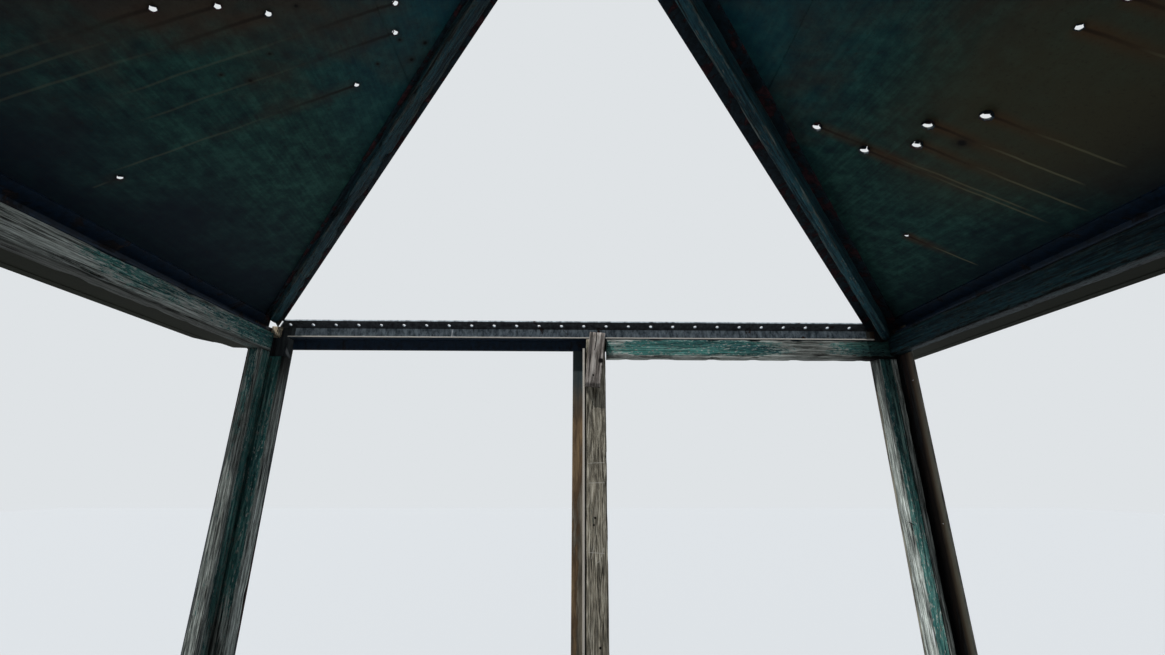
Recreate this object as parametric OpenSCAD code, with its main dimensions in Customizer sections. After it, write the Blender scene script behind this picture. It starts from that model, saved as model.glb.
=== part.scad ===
// Fire lookout tower cab, 7 ft square: steel corner posts and eaves, timber
// nailers, steel lower walls, boarded floor with hatchway, hipped steel roof.
// Origin: centre of the cab, on the underside of the floor frame. +Z up.
// +Y is the wall that has lost its roof panel. Sizes are in millimetres.

/* [Cab] */
// width over the steel corner posts, both ways
cab_w = 2134; // [1800:2:2600]
// height of the eave line above the underside of the floor frame
eave_z = 2204; // [1900:1:2600]
// top of the window sills above the underside of the floor frame
sill_z = 1070; // [800:1:1300]
// roof rise in every 12 of run
roof_rise = 6; // [4:0.25:9]
// how far the roof sheets pass the walls, measured level
overhang = 148; // [60:1:300]

/* [Steel] */
// thickness of all steel angles and bars
steel_t = 5; // [4:0.5:8]
// leg of the corner posts and of the floor frame angles
post_leg = 89; // [60:1:120]
// sloping leg of the eave angles
eave_leg = 40; // [30:1:70]
// leg of the head and sill angles that points into the cab
head_leg = 44; // [30:1:70]
// hanging leg of the head angles
head_drop = 33; // [20:1:60]
// width of the flange of a mullion tee
tee_w = 72; // [40:1:90]
// wide leg of a hip angle
hip_leg = 59; // [40:1:80]
// other legs of the hip angles
hip_leg_small = 40; // [30:1:60]
// leg of the front left hip angle on the open side
hip_leg_cut = 20; // [15:1:60]
// other leg of the front left hip angle
hip_leg_side = 42; // [30:1:60]
// radius in the root of the rolled angles and tees
root_r = 3.5; // [1:0.5:3.5]
// thickness of the roof and wall sheets
sheet_t = 1.5; // [1:0.1:3]
// width of the lower roof sheets, up the slope
sheet_w = 914; // [700:1:1000]
// how far the upper roof sheets lap over the lower ones
lap_w = 50; // [30:1:90]
// width of the hem folded under the eave edge of a lower roof sheet
hem_w = 12; // [6:1:25]
// width of each flange of the hip caps
cap_w = 55; // [30:1:90]
// diameter of the roll of the hip caps
roll_d = 26; // [16:1:40]
// radius of the peak cap
peak_r = 78; // [60:1:120]
// torn corner of the left roof sheet, along the eave
tear_l = 285; // [100:1:400]
// torn corner of the left roof sheet, up the slope
tear_w = 40; // [10:1:80]
// half width of the square block where the hips meet
hub_half = 44; // [36:1:70]
// depth of the block where the hips meet
hub_h = 90; // [60:1:140]
// height of the girts that stiffen the lower walls
girt_z = 595; // [300:1:800]

/* [Timber] */
// thickness of all planks and studs
stud_t = 38; // [25:1:50]
// width of joists and sill boards
stud_w = 89; // [70:1:120]
// width of corner nailers on the side walls
butt_w = 51; // [38:1:89]
// width of the other nailers and depth of the headers
strip_w = 64; // [40:1:80]
// thickness of the nailers on edge under the hips
edge_t = 26; // [19:1:38]
// thickness of the flat batten under the front left hip
batten_t = 19; // [12:1:30]
// gap between a timber and the stem of a tee
stem_gap = 4; // [1:0.5:12]
// spacing of the joists
joist_pitch = 430; // [300:1:600]
// thickness of the floor boards
deck_t = 25; // [15:1:40]
// height of the head line of side and back walls below the eave line
head_side = 33; // [20:1:80]
// height of the head line of the front wall below the eave line
head_front = 46; // [30:1:90]
// length of the loose block on the front mullion
block_l = 180; // [100:1:260]
// lean of the loose block
block_lean = 5.5; // [0:0.5:10]

/* [Hatchway] */
// clear side of the square hatchway in the floor
hatch_w = 610; // [450:1:760]
// distance of the hatchway from the back and right walls
hatch_edge = 177; // [140:1:300]

/* [Holes] */
// pitch of the sheet bolts along the eaves
hole_pitch = 76.2; // [50:0.1:120]
// number of sheet bolt holes along the open eave
hole_count = 27; // [15:2:31]
// diameter of a sheet bolt hole
hole_d = 11; // [6:0.5:14]
// length of the open gap at the front left corner of the eave
gap_l = 56; // [40:1:70]
// diameter of a clean bullet hole in the roof
shot_d = 11; // [6:0.5:16]
// diameter of a torn bullet hole in the right roof sheet
torn_d = 20; // [12:0.5:26]
// gap left where two sheets or bars meet at an angle
seam = 2; // [1:0.5:4]
// diameter of the empty nailer bolt holes in the front right post
bolt_d = 8; // [5:0.5:12]
// diameter of the holding-down bolt holes
anchor_d = 18; // [12:0.5:24]
// distance of the holding-down bolts from the side faces
anchor_in = 150; // [100:1:300]

/* [Hidden] */
$fn = 24;
half = cab_w / 2;
inner = half - steel_t;
face = inner - stud_t;
slope = atan(roof_rise / 12);
cs = cos(slope);
hip_turn = atan(1 / cs);
hip_rise = atan(tan(slope) / sqrt(2));
peak_z = eave_z + half * tan(slope);
floor_z = steel_t + stud_w + deck_t;
frame_in = inner - post_leg;
post_in = half - post_leg;
nail_in = post_in;
side_top = eave_z - head_side;
front_top = eave_z - head_front;
stem_t = steel_t + 2;
nail_gap = stem_t / 2 + stem_gap;
nail_edge = nail_gap + strip_w;
lap_v = sheet_w - overhang / cs;
front_reach = half + overhang + sheet_t * sin(slope);
big = 3 * cab_w;
toe_r = steel_t / 2;
hatch_off = half - hatch_edge - hatch_w;
corner_u = half + overhang - seam;

rust = [0.38, 0.22, 0.15];
dark_green = [0.10, 0.16, 0.14];
paint_green = [0.13, 0.27, 0.24];
bare_wood = [0.50, 0.47, 0.42];
grey_zinc = [0.55, 0.57, 0.58];

// bullet holes as [along the eave, level run in from it] in shares of half
// the cab width, and those of the upper sheet in from its lap instead
shots_left = [[-0.054, 0.365], [-0.076, 0.433], [-0.108, 0.484],
    [-0.280, 0.544], [-0.296, 0.135]];
lap_shots_left = [[-0.155, 0.029], [-0.206, 0.012]];
torn_right = [[0.360, 0.515], [0.370, 0.416], [0.311, 0.351],
    [0.262, 0.363], [0.205, 0.306]];
shots_right = [[0.037, 0.312], [-0.013, 0.298], [0.560, 0.218]];

// clear half length between the corner nailers of wall a
function clear_half(a) = a % 180 == 0 ? nail_in : face - butt_w;

// box given by its low and high corners
module box(a, b) translate(a) cube([b[0] - a[0], b[1] - a[1], b[2] - a[2]]);

// quarter circle of points round a rounded edge, and round a hollow one
function edge(x, y, r) =
    [for (t = [0 : 30 : 90]) [x + r * cos(t), y + r * sin(t)]];
function hollow(x, y, r) =
    [for (t = [270 : -30 : 180]) [x + r * cos(t), y + r * sin(t)]];

// section of a rolled angle, outer corner at the origin, with rounded toes
module angle_section(a, b, root = root_r)
    polygon([[0, 0], [a, 0],
        each edge(a - toe_r, steel_t - toe_r, toe_r),
        each root > 0 ? hollow(steel_t + root, steel_t + root, root)
            : [[steel_t, steel_t]],
        each edge(steel_t - toe_r, b - toe_r, toe_r), [0, b]]);

// section of a rolled tee, top of the flange on the x axis, stem along +y
module tee_section(w, deep)
    for (m = [0, 1]) mirror([m, 0])
        polygon([[0, 0], [w / 2, 0],
            each edge(w / 2 - toe_r, steel_t - toe_r, toe_r),
            each hollow(stem_t / 2 + root_r, steel_t + root_r, root_r),
            each edge(stem_t / 4, deep - stem_t / 4, stem_t / 4),
            [0, deep]]);

// bar along x from x0 to x1, its section's x and y turned to y and z
module along_x(x0, x1)
    translate([x0, 0, 0]) rotate([90, 0, 90])
        linear_extrude(x1 - x0) children();

// children once for the front and once for the back
module both_ends() for (a = [0, 180]) rotate([0, 0, a]) children();

// children once for the left and once for the right
module both_sides() for (a = [90, 270]) rotate([0, 0, a]) children();

// frame of a roof slope: x along the eave, y up the slope, z out of the roof
module on_slope(a)
    rotate([0, 0, a]) translate([0, half, eave_z]) rotate([0, 0, 180])
        rotate([slope, 0, 0]) children();

// everything more than d below the outer face of the steel is kept clear
module above_slopes(d)
    for (a = [0, 90, 180, 270])
        on_slope(a) translate([-big / 2, -big / 2, -d]) cube([big, big, big]);

// strip of width w along the hip at the low x end of a slope
module hip_strip(w, extra = 0)
    translate([-half, 0]) rotate(hip_turn) translate([-big / 2, -w])
        square([big, w + extra]);

// one leg of a hip angle, at the low x end of slope a, or the high x end
module hip_leg_plate(a, w, high)
    on_slope(a) translate([0, 0, -steel_t]) linear_extrude(steel_t)
        mirror([high ? 1 : 0, 0]) intersection() {
            hip_strip(w);
            translate([-half, 0])
                square([half - seam, (half - hub_half) / cs]);
        }

// bent angle along an eave: sloping leg and leg hanging in the wall plane
module eave_angle(a, low_w, high_w, top, x0, x1) {
    on_slope(a) translate([0, 0, -steel_t]) linear_extrude(steel_t)
        difference() {
            translate([x0, 0]) square([x1 - x0, eave_leg]);
            hip_strip(low_w, big);
            mirror([1, 0]) hip_strip(high_w, big);
        }
    rotate([0, 0, a])
        box([max(seam / 2 - x1, -post_in), inner, top + steel_t],
            [min(-x0 - seam / 2, post_in), half, eave_z]);
}

// steel angle over a window opening, its level leg pointing in
module head_angle(a, top) rotate([0, 0, a])
    along_x(-post_in, post_in) translate([half, top + steel_t]) rotate(180)
        angle_section(head_leg, head_drop + steel_t, 0);

// tee bar between two windows, stem pointing in, its flange down to the sill
module mullion_tee(a, top) rotate([0, 0, a]) {
    translate([0, half, sill_z]) mirror([0, 1, 0])
        linear_extrude(top - head_drop - sill_z)
            tee_section(tee_w, half - face);
    box([-tee_w / 2, inner + seam / 2, sill_z - stud_t],
        [tee_w / 2, half, sill_z]);
}

module header(a, x0, x1, top) rotate([0, 0, a])
    box([x0, face, top - strip_w], [x1, inner, top]);

module base_beams() color(rust) difference() {
    both_ends() along_x(-inner + root_r, inner - root_r)
        translate([inner, 0]) mirror([1, 0])
            angle_section(post_leg, post_leg);
    for (x = [-1, 1], y = [-1, 1])
        translate([x * (half - anchor_in), y * (inner - post_leg / 2), -1])
            cylinder(d = anchor_d, h = steel_t + 2);
}

module base_ties() color(rust)
    both_sides() along_x(-frame_in, frame_in)
        translate([inner, 0]) mirror([1, 0])
            angle_section(post_leg, post_leg);

joist_reach = inner - steel_t - root_r;
joist_end = joist_reach - stud_t / 2;

module floor_joists() color(bare_wood)
    for (x = [each [-joist_end : joist_pitch : hatch_off - stud_w],
            hatch_off - stud_t / 2, hatch_off + hatch_w + stud_t / 2,
            joist_end])
        box([x - stud_t / 2, -joist_reach, steel_t],
            [x + stud_t / 2, joist_reach, steel_t + stud_w]);

module hatch_trimmers() color(bare_wood)
    for (y = [-hatch_off, -hatch_off - hatch_w - stud_t])
        box([hatch_off, y, steel_t],
            [hatch_off + hatch_w, y + stud_t, steel_t + stud_w]);

// the boards are notched round the roots of the corner posts
module floor_deck() color(bare_wood) difference() {
    box([-inner, -inner, steel_t + stud_w], [inner, inner, floor_z]);
    box([hatch_off, -hatch_off - hatch_w, 0],
        [hatch_off + hatch_w, -hatch_off, floor_z + 1]);
    for (x = [-inner, inner], y = [-inner, inner])
        translate([x, y, 0]) cylinder(r = root_r + 1, h = floor_z + 1);
}

// low coaming nailed on the boards around the hatchway
module hatch_frame() color(bare_wood) difference() {
    box([hatch_off - stud_t, -hatch_off - hatch_w - stud_t, floor_z],
        [hatch_off + hatch_w + stud_t, -hatch_off + stud_t,
            floor_z + stud_t / 2]);
    box([hatch_off, -hatch_off - hatch_w, 0],
        [hatch_off + hatch_w, -hatch_off, floor_z + stud_t]);
}

module corner_posts() color(rust) difference() {
    for (a = [0, 90, 180, 270]) rotate([0, 0, a])
        translate([half, half]) rotate(180)
            linear_extrude(eave_z + steel_t)
                angle_section(post_leg, post_leg);
    above_slopes(steel_t);
    for (i = [0 : 2])
        translate([inner - 1, half - post_leg * 0.75,
            side_top - strip_w - stud_w - joist_pitch * i])
            rotate([0, 90, 0]) cylinder(d = bolt_d, h = steel_t + 2);
}

module wall_sheet(a, w) color(grey_zinc) rotate([0, 0, a])
    box([-w, half, 0], [w, half + sheet_t, sill_z - stud_t]);

module wall_front() wall_sheet(0, half + sheet_t);
module wall_back() wall_sheet(180, half + sheet_t);
module wall_left() wall_sheet(90, half);
module wall_right() wall_sheet(270, half);

module wall_girts() color(rust)
    for (a = [0, 90, 180, 270]) rotate([0, 0, a])
        along_x(-clear_half(a), clear_half(a))
            translate([half, girt_z]) mirror([1, 0])
                angle_section(head_leg, head_leg);

module sill_angles() color(rust)
    for (a = [0, 90, 180, 270]) rotate([0, 0, a])
        along_x(-clear_half(a), clear_half(a))
            translate([half, sill_z - stud_t]) rotate(180)
                angle_section(head_leg, head_leg);

module sill_boards() color(bare_wood)
    for (a = [0, 90, 180, 270]) rotate([0, 0, a])
        box([-clear_half(a) + seam, inner - stud_w, sill_z - stud_t],
            [clear_half(a) - seam, inner, sill_z]);

module mullion_front() color(rust) mullion_tee(0, front_top);

module mullions_other() color(rust)
    for (a = [90, 180, 270]) mullion_tee(a, side_top);

module nail_strip(a, s, top) rotate([0, 0, a])
    box([s > 0 ? nail_gap : -nail_edge, face, sill_z],
        [s > 0 ? nail_edge : -nail_gap, inner, top]);

module mullion_nailer_front() color(bare_wood) nail_strip(0, 1, front_top);

module mullion_nailers_other() color(bare_wood)
    for (a = [90, 180, 270], s = [-1, 1]) nail_strip(a, s, side_top);

// short scrap of board nailed across the head of the front mullion
module mullion_block() color(bare_wood)
    translate([nail_gap + strip_w * 0.45, face,
            front_top - block_l / 2 + deck_t * 0.64])
        rotate([0, block_lean, 0])
            translate([-strip_w * 0.4, -deck_t, -block_l / 2])
                cube([strip_w * 0.8, deck_t, block_l]);

module corner_nailers_fb() color(paint_green)
    for (s = [-1, 1], e = [-1, 1])
        box([s > 0 ? nail_in : -nail_in - strip_w,
                e > 0 ? face : -inner, floor_z],
            [s > 0 ? nail_in + strip_w : -nail_in,
                e > 0 ? inner : -face,
                (e > 0 ? front_top : side_top) - strip_w]);

// the one on the right hand side wall at the front corner is missing
module corner_nailers_lr() color(paint_green)
    for (s = [[-1, 1], [-1, -1], [1, -1]])
        box([s[0] > 0 ? face : -inner,
                s[1] > 0 ? face - butt_w : -face, floor_z],
            [s[0] > 0 ? inner : -face,
                s[1] > 0 ? face : -face + butt_w, side_top - strip_w]);

module head_angle_front() color(rust) head_angle(0, front_top);

module head_angles_other() color(rust) {
    head_angle(180, side_top);
    for (a = [90, 270]) head_angle(a, side_top);
}

module header_front_right() color(paint_green)
    header(0, nail_edge + stem_gap, nail_in + strip_w, front_top);

module headers_back() color(paint_green) {
    header(180, nail_edge + stem_gap, nail_in + strip_w, side_top);
    header(180, -nail_in - strip_w, -nail_edge - stem_gap, side_top);
}

module headers_left() color(paint_green) {
    header(90, nail_edge + stem_gap, face, side_top);
    header(90, -face, -nail_edge - stem_gap, side_top);
}

module headers_right() color(paint_green) {
    header(270, nail_edge + stem_gap, face, side_top);
    header(270, -face, -nail_edge - stem_gap, side_top);
}

// the open eave is in two lengths, with a small step at the joint
module eave_front(x0, x1) color(rust) difference() {
    eave_angle(0, hip_leg, hip_leg_cut, front_top, x0, x1);
    for (i = [0 : hole_count - 1])
        on_slope(0)
            translate([(i - (hole_count - 1) / 2) * hole_pitch,
                eave_leg / 2, -steel_t - 1])
                cylinder(d = hole_d, h = steel_t + 2);
}

joint_x = hole_pitch * 5.9;

// forked gap where the front left hip has lost its foot
module corner_gap() translate([-half, half, 0]) linear_extrude(peak_z) {
    scale(gap_l)
        polygon([[-0.23, 0.23], [-0.23, -0.2], [0, -0.23], [0.55, -1],
            [0.66, -0.95], [0.52, -0.42], [0.52, 0.23]]);
    rotate(-45) translate([gap_l * 0.43, hip_leg_cut * 0.73])
        square([gap_l * 0.75, hip_leg_cut * 0.23]);
}

module eave_front_left() difference() {
    eave_front(joint_x, half);
    color(rust) corner_gap();
}
module eave_front_right() eave_front(-half, joint_x);

module eave_back() color(rust)
    eave_angle(180, hip_leg_small, hip_leg_small, side_top, -half, half);

module eave_left() color(rust) difference() {
    eave_angle(90, hip_leg_side, hip_leg_small, side_top, -half, half);
    corner_gap();
}

module eave_right() color(rust)
    eave_angle(270, hip_leg_small, hip_leg_small, side_top, -half, half);

module hip_front_right() color(rust) {
    hip_leg_plate(0, hip_leg, false);
    hip_leg_plate(270, hip_leg_small, true);
}

module hip_front_left() color(rust) difference() {
    union() {
        hip_leg_plate(0, hip_leg_cut, true);
        hip_leg_plate(90, hip_leg_side, false);
    }
    corner_gap();
}

module hip_back_left() color(rust) {
    hip_leg_plate(180, hip_leg_small, false);
    hip_leg_plate(90, hip_leg_small, true);
}

module hip_back_right() color(rust) {
    hip_leg_plate(180, hip_leg_small, true);
    hip_leg_plate(270, hip_leg_small, false);
}

// timber on edge under a hip angle, its top bevelled to fit the two legs
module hip_nailers() color(paint_green) difference() {
    intersection() {
        for (a = [45, 225, 315]) rotate([0, 0, a])
            translate([half * sqrt(2), 0, eave_z]) rotate([0, 0, 180])
                rotate([0, -hip_rise, 0])
                    translate([0, -edge_t / 2, -steel_t - strip_w])
                        cube([half * sqrt(2) / cos(hip_rise), edge_t,
                            strip_w + steel_t]);
        box([-face + steel_t, -face + steel_t, 0], [face - steel_t, face - steel_t, peak_z]);
    }
    box([-hub_half, -hub_half, 0], [hub_half, hub_half, peak_z]);
    above_slopes(steel_t);
}

// the front left hip keeps only a thin flat batten under its side leg
module hip_batten() color(paint_green)
    intersection() {
        on_slope(90) translate([0, 0, -steel_t - batten_t])
            linear_extrude(batten_t) difference() {
                hip_strip(hip_leg_side - stem_gap);
                hip_strip(stem_gap);
            }
        box([-face + steel_t, -face + steel_t, 0], [-hub_half - seam, face - steel_t, peak_z]);
    }

// broken foot of the lost nailer of the front left hip
module nailer_stub() color(bare_wood) difference() {
    box([-inner + 14, inner - 22, side_top - 7], [-face + 4, inner, eave_z - 2]);
    above_slopes(steel_t);
}

module peak_hub() color(rust) difference() {
    box([-hub_half, -hub_half, peak_z - hub_h], [hub_half, hub_half, peak_z]);
    above_slopes(0);
}

// outline of one slope, a triangle that stops just short of the hips
module slope_outline(low_u, high_u, tear)
    difference() {
        polygon([[-low_u, -overhang / cs], [high_u, -overhang / cs],
            [0, (half - seam) / cs]]);
        if (tear)
            polygon([[-low_u - 1, -overhang / cs - 1],
                [-low_u + tear_l, -overhang / cs - 1],
                [-low_u + tear_l * 0.62, -overhang / cs + tear_w * 0.45],
                [-low_u + tear_l * 0.44, -overhang / cs + tear_w * 0.5],
                [-low_u + tear_l * 0.3, -overhang / cs + tear_w],
                [-low_u + tear_l * 0.16, -overhang / cs + tear_w * 0.8],
                [-low_u - 1, -overhang / cs + tear_w]]);
    }

// round holes through a slope, v0 is the line they are placed from
module shots(list, d, v0 = 0)
    for (p = list)
        translate([p[0] * half, p[1] * half / cs + v0, -steel_t])
            cylinder(d = d, h = 3 * steel_t);

// sheet bent to a profile of [up the slope, out of it], cut to the outline
module bent_sheet(low_u, high_u, tear, profile)
    intersection() {
        translate([0, 0, -sheet_t]) linear_extrude(4 * sheet_t)
            slope_outline(low_u, high_u, tear);
        along_x(-big / 2, big / 2) polygon(profile);
    }

eave_v = -overhang / cs;

// lower sheet, with a hem folded under its eave edge
module lower_sheet(low_u, high_u, tear = false)
    bent_sheet(low_u, high_u, tear,
        [[eave_v - 1, -sheet_t], [eave_v + hem_w, -sheet_t],
        [eave_v + hem_w + sheet_t, 0], [lap_v, 0], [lap_v, sheet_t],
        [eave_v - 1, sheet_t]]);

// upper sheet, which rides over the lower one and sets down past the lap
module upper_sheet(low_u, high_u)
    bent_sheet(low_u, high_u, false,
        [[lap_v - lap_w, sheet_t], [lap_v + sheet_t, sheet_t],
        [lap_v + lap_w / 2, 0], [half / cs, 0], [half / cs, sheet_t],
        [lap_v + lap_w / 2, sheet_t], [lap_v + sheet_t, 2 * sheet_t],
        [lap_v - lap_w, 2 * sheet_t]]);

module roof_left_lower() color(dark_green) difference() {
    on_slope(90) difference() {
        lower_sheet(front_reach, corner_u, true);
        shots(shots_left, shot_d);
    }
    corner_gap();
}

module roof_left_upper() color(dark_green) on_slope(90) difference() {
    upper_sheet(front_reach, corner_u);
    shots(lap_shots_left, shot_d, lap_v);
}

module roof_right_lower() color(dark_green) on_slope(270) difference() {
    lower_sheet(corner_u, front_reach);
    shots(shots_right, shot_d);
    shots(torn_right, torn_d);
}

module roof_right_upper() color(dark_green)
    on_slope(270) upper_sheet(corner_u, front_reach);

module roof_back_lower() color(dark_green)
    on_slope(180) lower_sheet(corner_u, corner_u);

module roof_back_upper() color(dark_green)
    on_slope(180) upper_sheet(corner_u, corner_u);

// everything less than d above the slopes
module roof_body(d) intersection() {
    on_slope(0) translate([-big / 2, -big / 2, d - big]) cube(big);
    on_slope(90) translate([-big / 2, -big / 2, d - big]) cube(big);
    on_slope(180) translate([-big / 2, -big / 2, d - big]) cube(big);
    on_slope(270) translate([-big / 2, -big / 2, d - big]) cube(big);
}

// flange of a hip cap, lying on the laps of slope a
module cap_flange(a, high)
    on_slope(a) translate([0, 0, 2 * sheet_t]) linear_extrude(sheet_t)
        mirror([high ? 1 : 0, 0]) intersection() {
            hip_strip(cap_w);
            slope_outline(corner_u, corner_u, false);
        }

// roll along the hip at corner a, on top of the flanges
module cap_roll(a)
    rotate([0, 0, a]) translate([half * sqrt(2), 0, eave_z + 2 * sheet_t])
        rotate([0, 270 + hip_rise, 0])
            translate([0, 0, -2 * overhang])
                cylinder(d = roll_d, h = 2 * overhang
                    + (half - seam) * sqrt(2) / cos(hip_rise));

// hip caps of the back hips, those of the front hips went with the panel
module roof_hip_caps() color(dark_green) intersection() {
    union() {
        cap_flange(180, false);
        cap_flange(90, true);
        cap_flange(180, true);
        cap_flange(270, false);
        difference() {
            for (a = [225, 315]) cap_roll(a);
            roof_body(2 * sheet_t);
        }
    }
    box([-half - overhang, -half - overhang, 0],
        [half + overhang, -seam, peak_z + roll_d]);
}

// low spun cap that sheds water from the peak over the hip caps
module roof_peak_cap() color(dark_green) difference() {
    translate([0, 0, peak_z]) rotate_extrude() polygon([[0, -peak_r],
        [peak_r, -peak_r], [peak_r, -peak_r * 0.08], [peak_r * 0.8, 0],
        [peak_r * 0.3, roll_d * 0.9], [peak_r * 0.14, roll_d],
        [peak_r * 0.12, roll_d * 1.6], [0, roll_d * 1.8]]);
    roof_body(2 * sheet_t);
    roof_hip_caps();
}

base_beams();
base_ties();
floor_joists();
hatch_trimmers();
floor_deck();
hatch_frame();
corner_posts();
wall_front();
wall_back();
wall_left();
wall_right();
wall_girts();
sill_angles();
sill_boards();
mullion_front();
mullions_other();
mullion_nailer_front();
mullion_nailers_other();
mullion_block();
corner_nailers_fb();
corner_nailers_lr();
head_angle_front();
head_angles_other();
header_front_right();
headers_back();
headers_left();
headers_right();
eave_front_left();
eave_front_right();
eave_back();
eave_left();
eave_right();
hip_front_left();
hip_front_right();
hip_back_left();
hip_back_right();
hip_nailers();
hip_batten();
nailer_stub();
peak_hub();
roof_left_lower();
roof_left_upper();
roof_right_lower();
roof_right_upper();
roof_back_lower();
roof_back_upper();
roof_hip_caps();
roof_peak_cap();
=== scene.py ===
import bpy
import bmesh
import math
import random
from functools import partial
from mathutils import Matrix, Vector, noise


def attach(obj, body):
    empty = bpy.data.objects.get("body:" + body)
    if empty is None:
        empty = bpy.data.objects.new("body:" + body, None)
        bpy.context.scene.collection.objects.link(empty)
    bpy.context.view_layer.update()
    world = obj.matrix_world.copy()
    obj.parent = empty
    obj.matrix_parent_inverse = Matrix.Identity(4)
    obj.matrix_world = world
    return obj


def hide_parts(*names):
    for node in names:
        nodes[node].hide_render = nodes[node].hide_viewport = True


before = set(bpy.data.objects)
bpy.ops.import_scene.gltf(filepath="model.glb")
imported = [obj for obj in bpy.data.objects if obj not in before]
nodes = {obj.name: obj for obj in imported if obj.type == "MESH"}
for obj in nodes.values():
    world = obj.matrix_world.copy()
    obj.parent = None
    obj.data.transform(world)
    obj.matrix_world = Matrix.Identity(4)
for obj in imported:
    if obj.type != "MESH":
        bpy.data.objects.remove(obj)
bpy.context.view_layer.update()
print("frame loaded,", len(nodes), "nodes")

# lines that the pieces are set out from, metres, the same as in the CAD model
cab = {
    "half": 1.067,      # outside of the steel posts
    "steel": 0.005,
    "inner": 1.062,     # inside face of the steel, where the timbers are nailed
    "face": 1.024,      # room side of the timbers
    "post": 0.978,      # edge of a corner post leg
    "eave": 2.204,
    "frontTop": 2.158,  # head line of the front wall
    "sideTop": 2.171,   # head line of the other walls
    "sill": 1.070,
    "floor": 0.119,
    "sheet": 0.0015,
    "strip": 0.064,     # nailer width
    "nailGap": 0.0075,  # middle of a mullion to its nailer
}
slope = math.atan(0.5)


def linear(code):  # sRGB hex to linear colour
    parts = [int(code[i:i + 2], 16) / 255 for i in (0, 2, 4)]
    red, green, blue = (c / 12.92 if c <= 0.04045 else ((c + 0.055) / 1.055) ** 2.4 for c in parts)
    return red, green, blue, 1.0


def feedNode(node, feeds):
    # feeds go to the sockets by name or in their order, which is value, from min, from max,
    # to min, to max for a Map Range and factor, A, B for a Mix; a colour is a hex code
    sockets = [socket for socket in node.inputs if socket.enabled]
    for key, value in feeds.items() if isinstance(feeds, dict) else enumerate(feeds):
        socket = sockets[key] if isinstance(key, int) else next(s for s in sockets if s.name == key)
        if isinstance(value, bpy.types.Node):
            value = next(s for s in value.outputs if s.enabled)
        if isinstance(value, bpy.types.NodeSocket):
            node.id_data.links.new(value, socket)
        else:
            isCode = socket.type == "RGBA" and isinstance(value, str)
            socket.default_value = linear(value) if isCode else value


def addNode(tree, kind, feeds=(), **settings):
    # a kind without "Node" in it is a shader node, and every Mix is of colours
    node = tree.nodes.new(kind if "Node" in kind else "ShaderNode" + kind)
    if kind == "Mix":
        node.data_type = "RGBA"
    for key, value in settings.items():
        if key == "stops":
            ramp = node.color_ramp
            while len(ramp.elements) < len(value):
                ramp.elements.new(0.5)
            for element, (place, colour) in zip(ramp.elements, value):
                element.position = place
                element.color = linear(colour)
        else:
            setattr(node, key, value)
    feedNode(node, feeds)
    return node


def startMaterial(name):  # the material, what adds nodes to it, and its shader
    material = bpy.data.materials.new(name)
    material.use_nodes = True
    tree = material.node_tree
    return material, partial(addNode, tree), tree.nodes["Principled BSDF"]


def addObject(name, data):
    thing = bpy.data.objects.new(name, data)
    bpy.context.scene.collection.objects.link(thing)
    return thing


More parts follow.
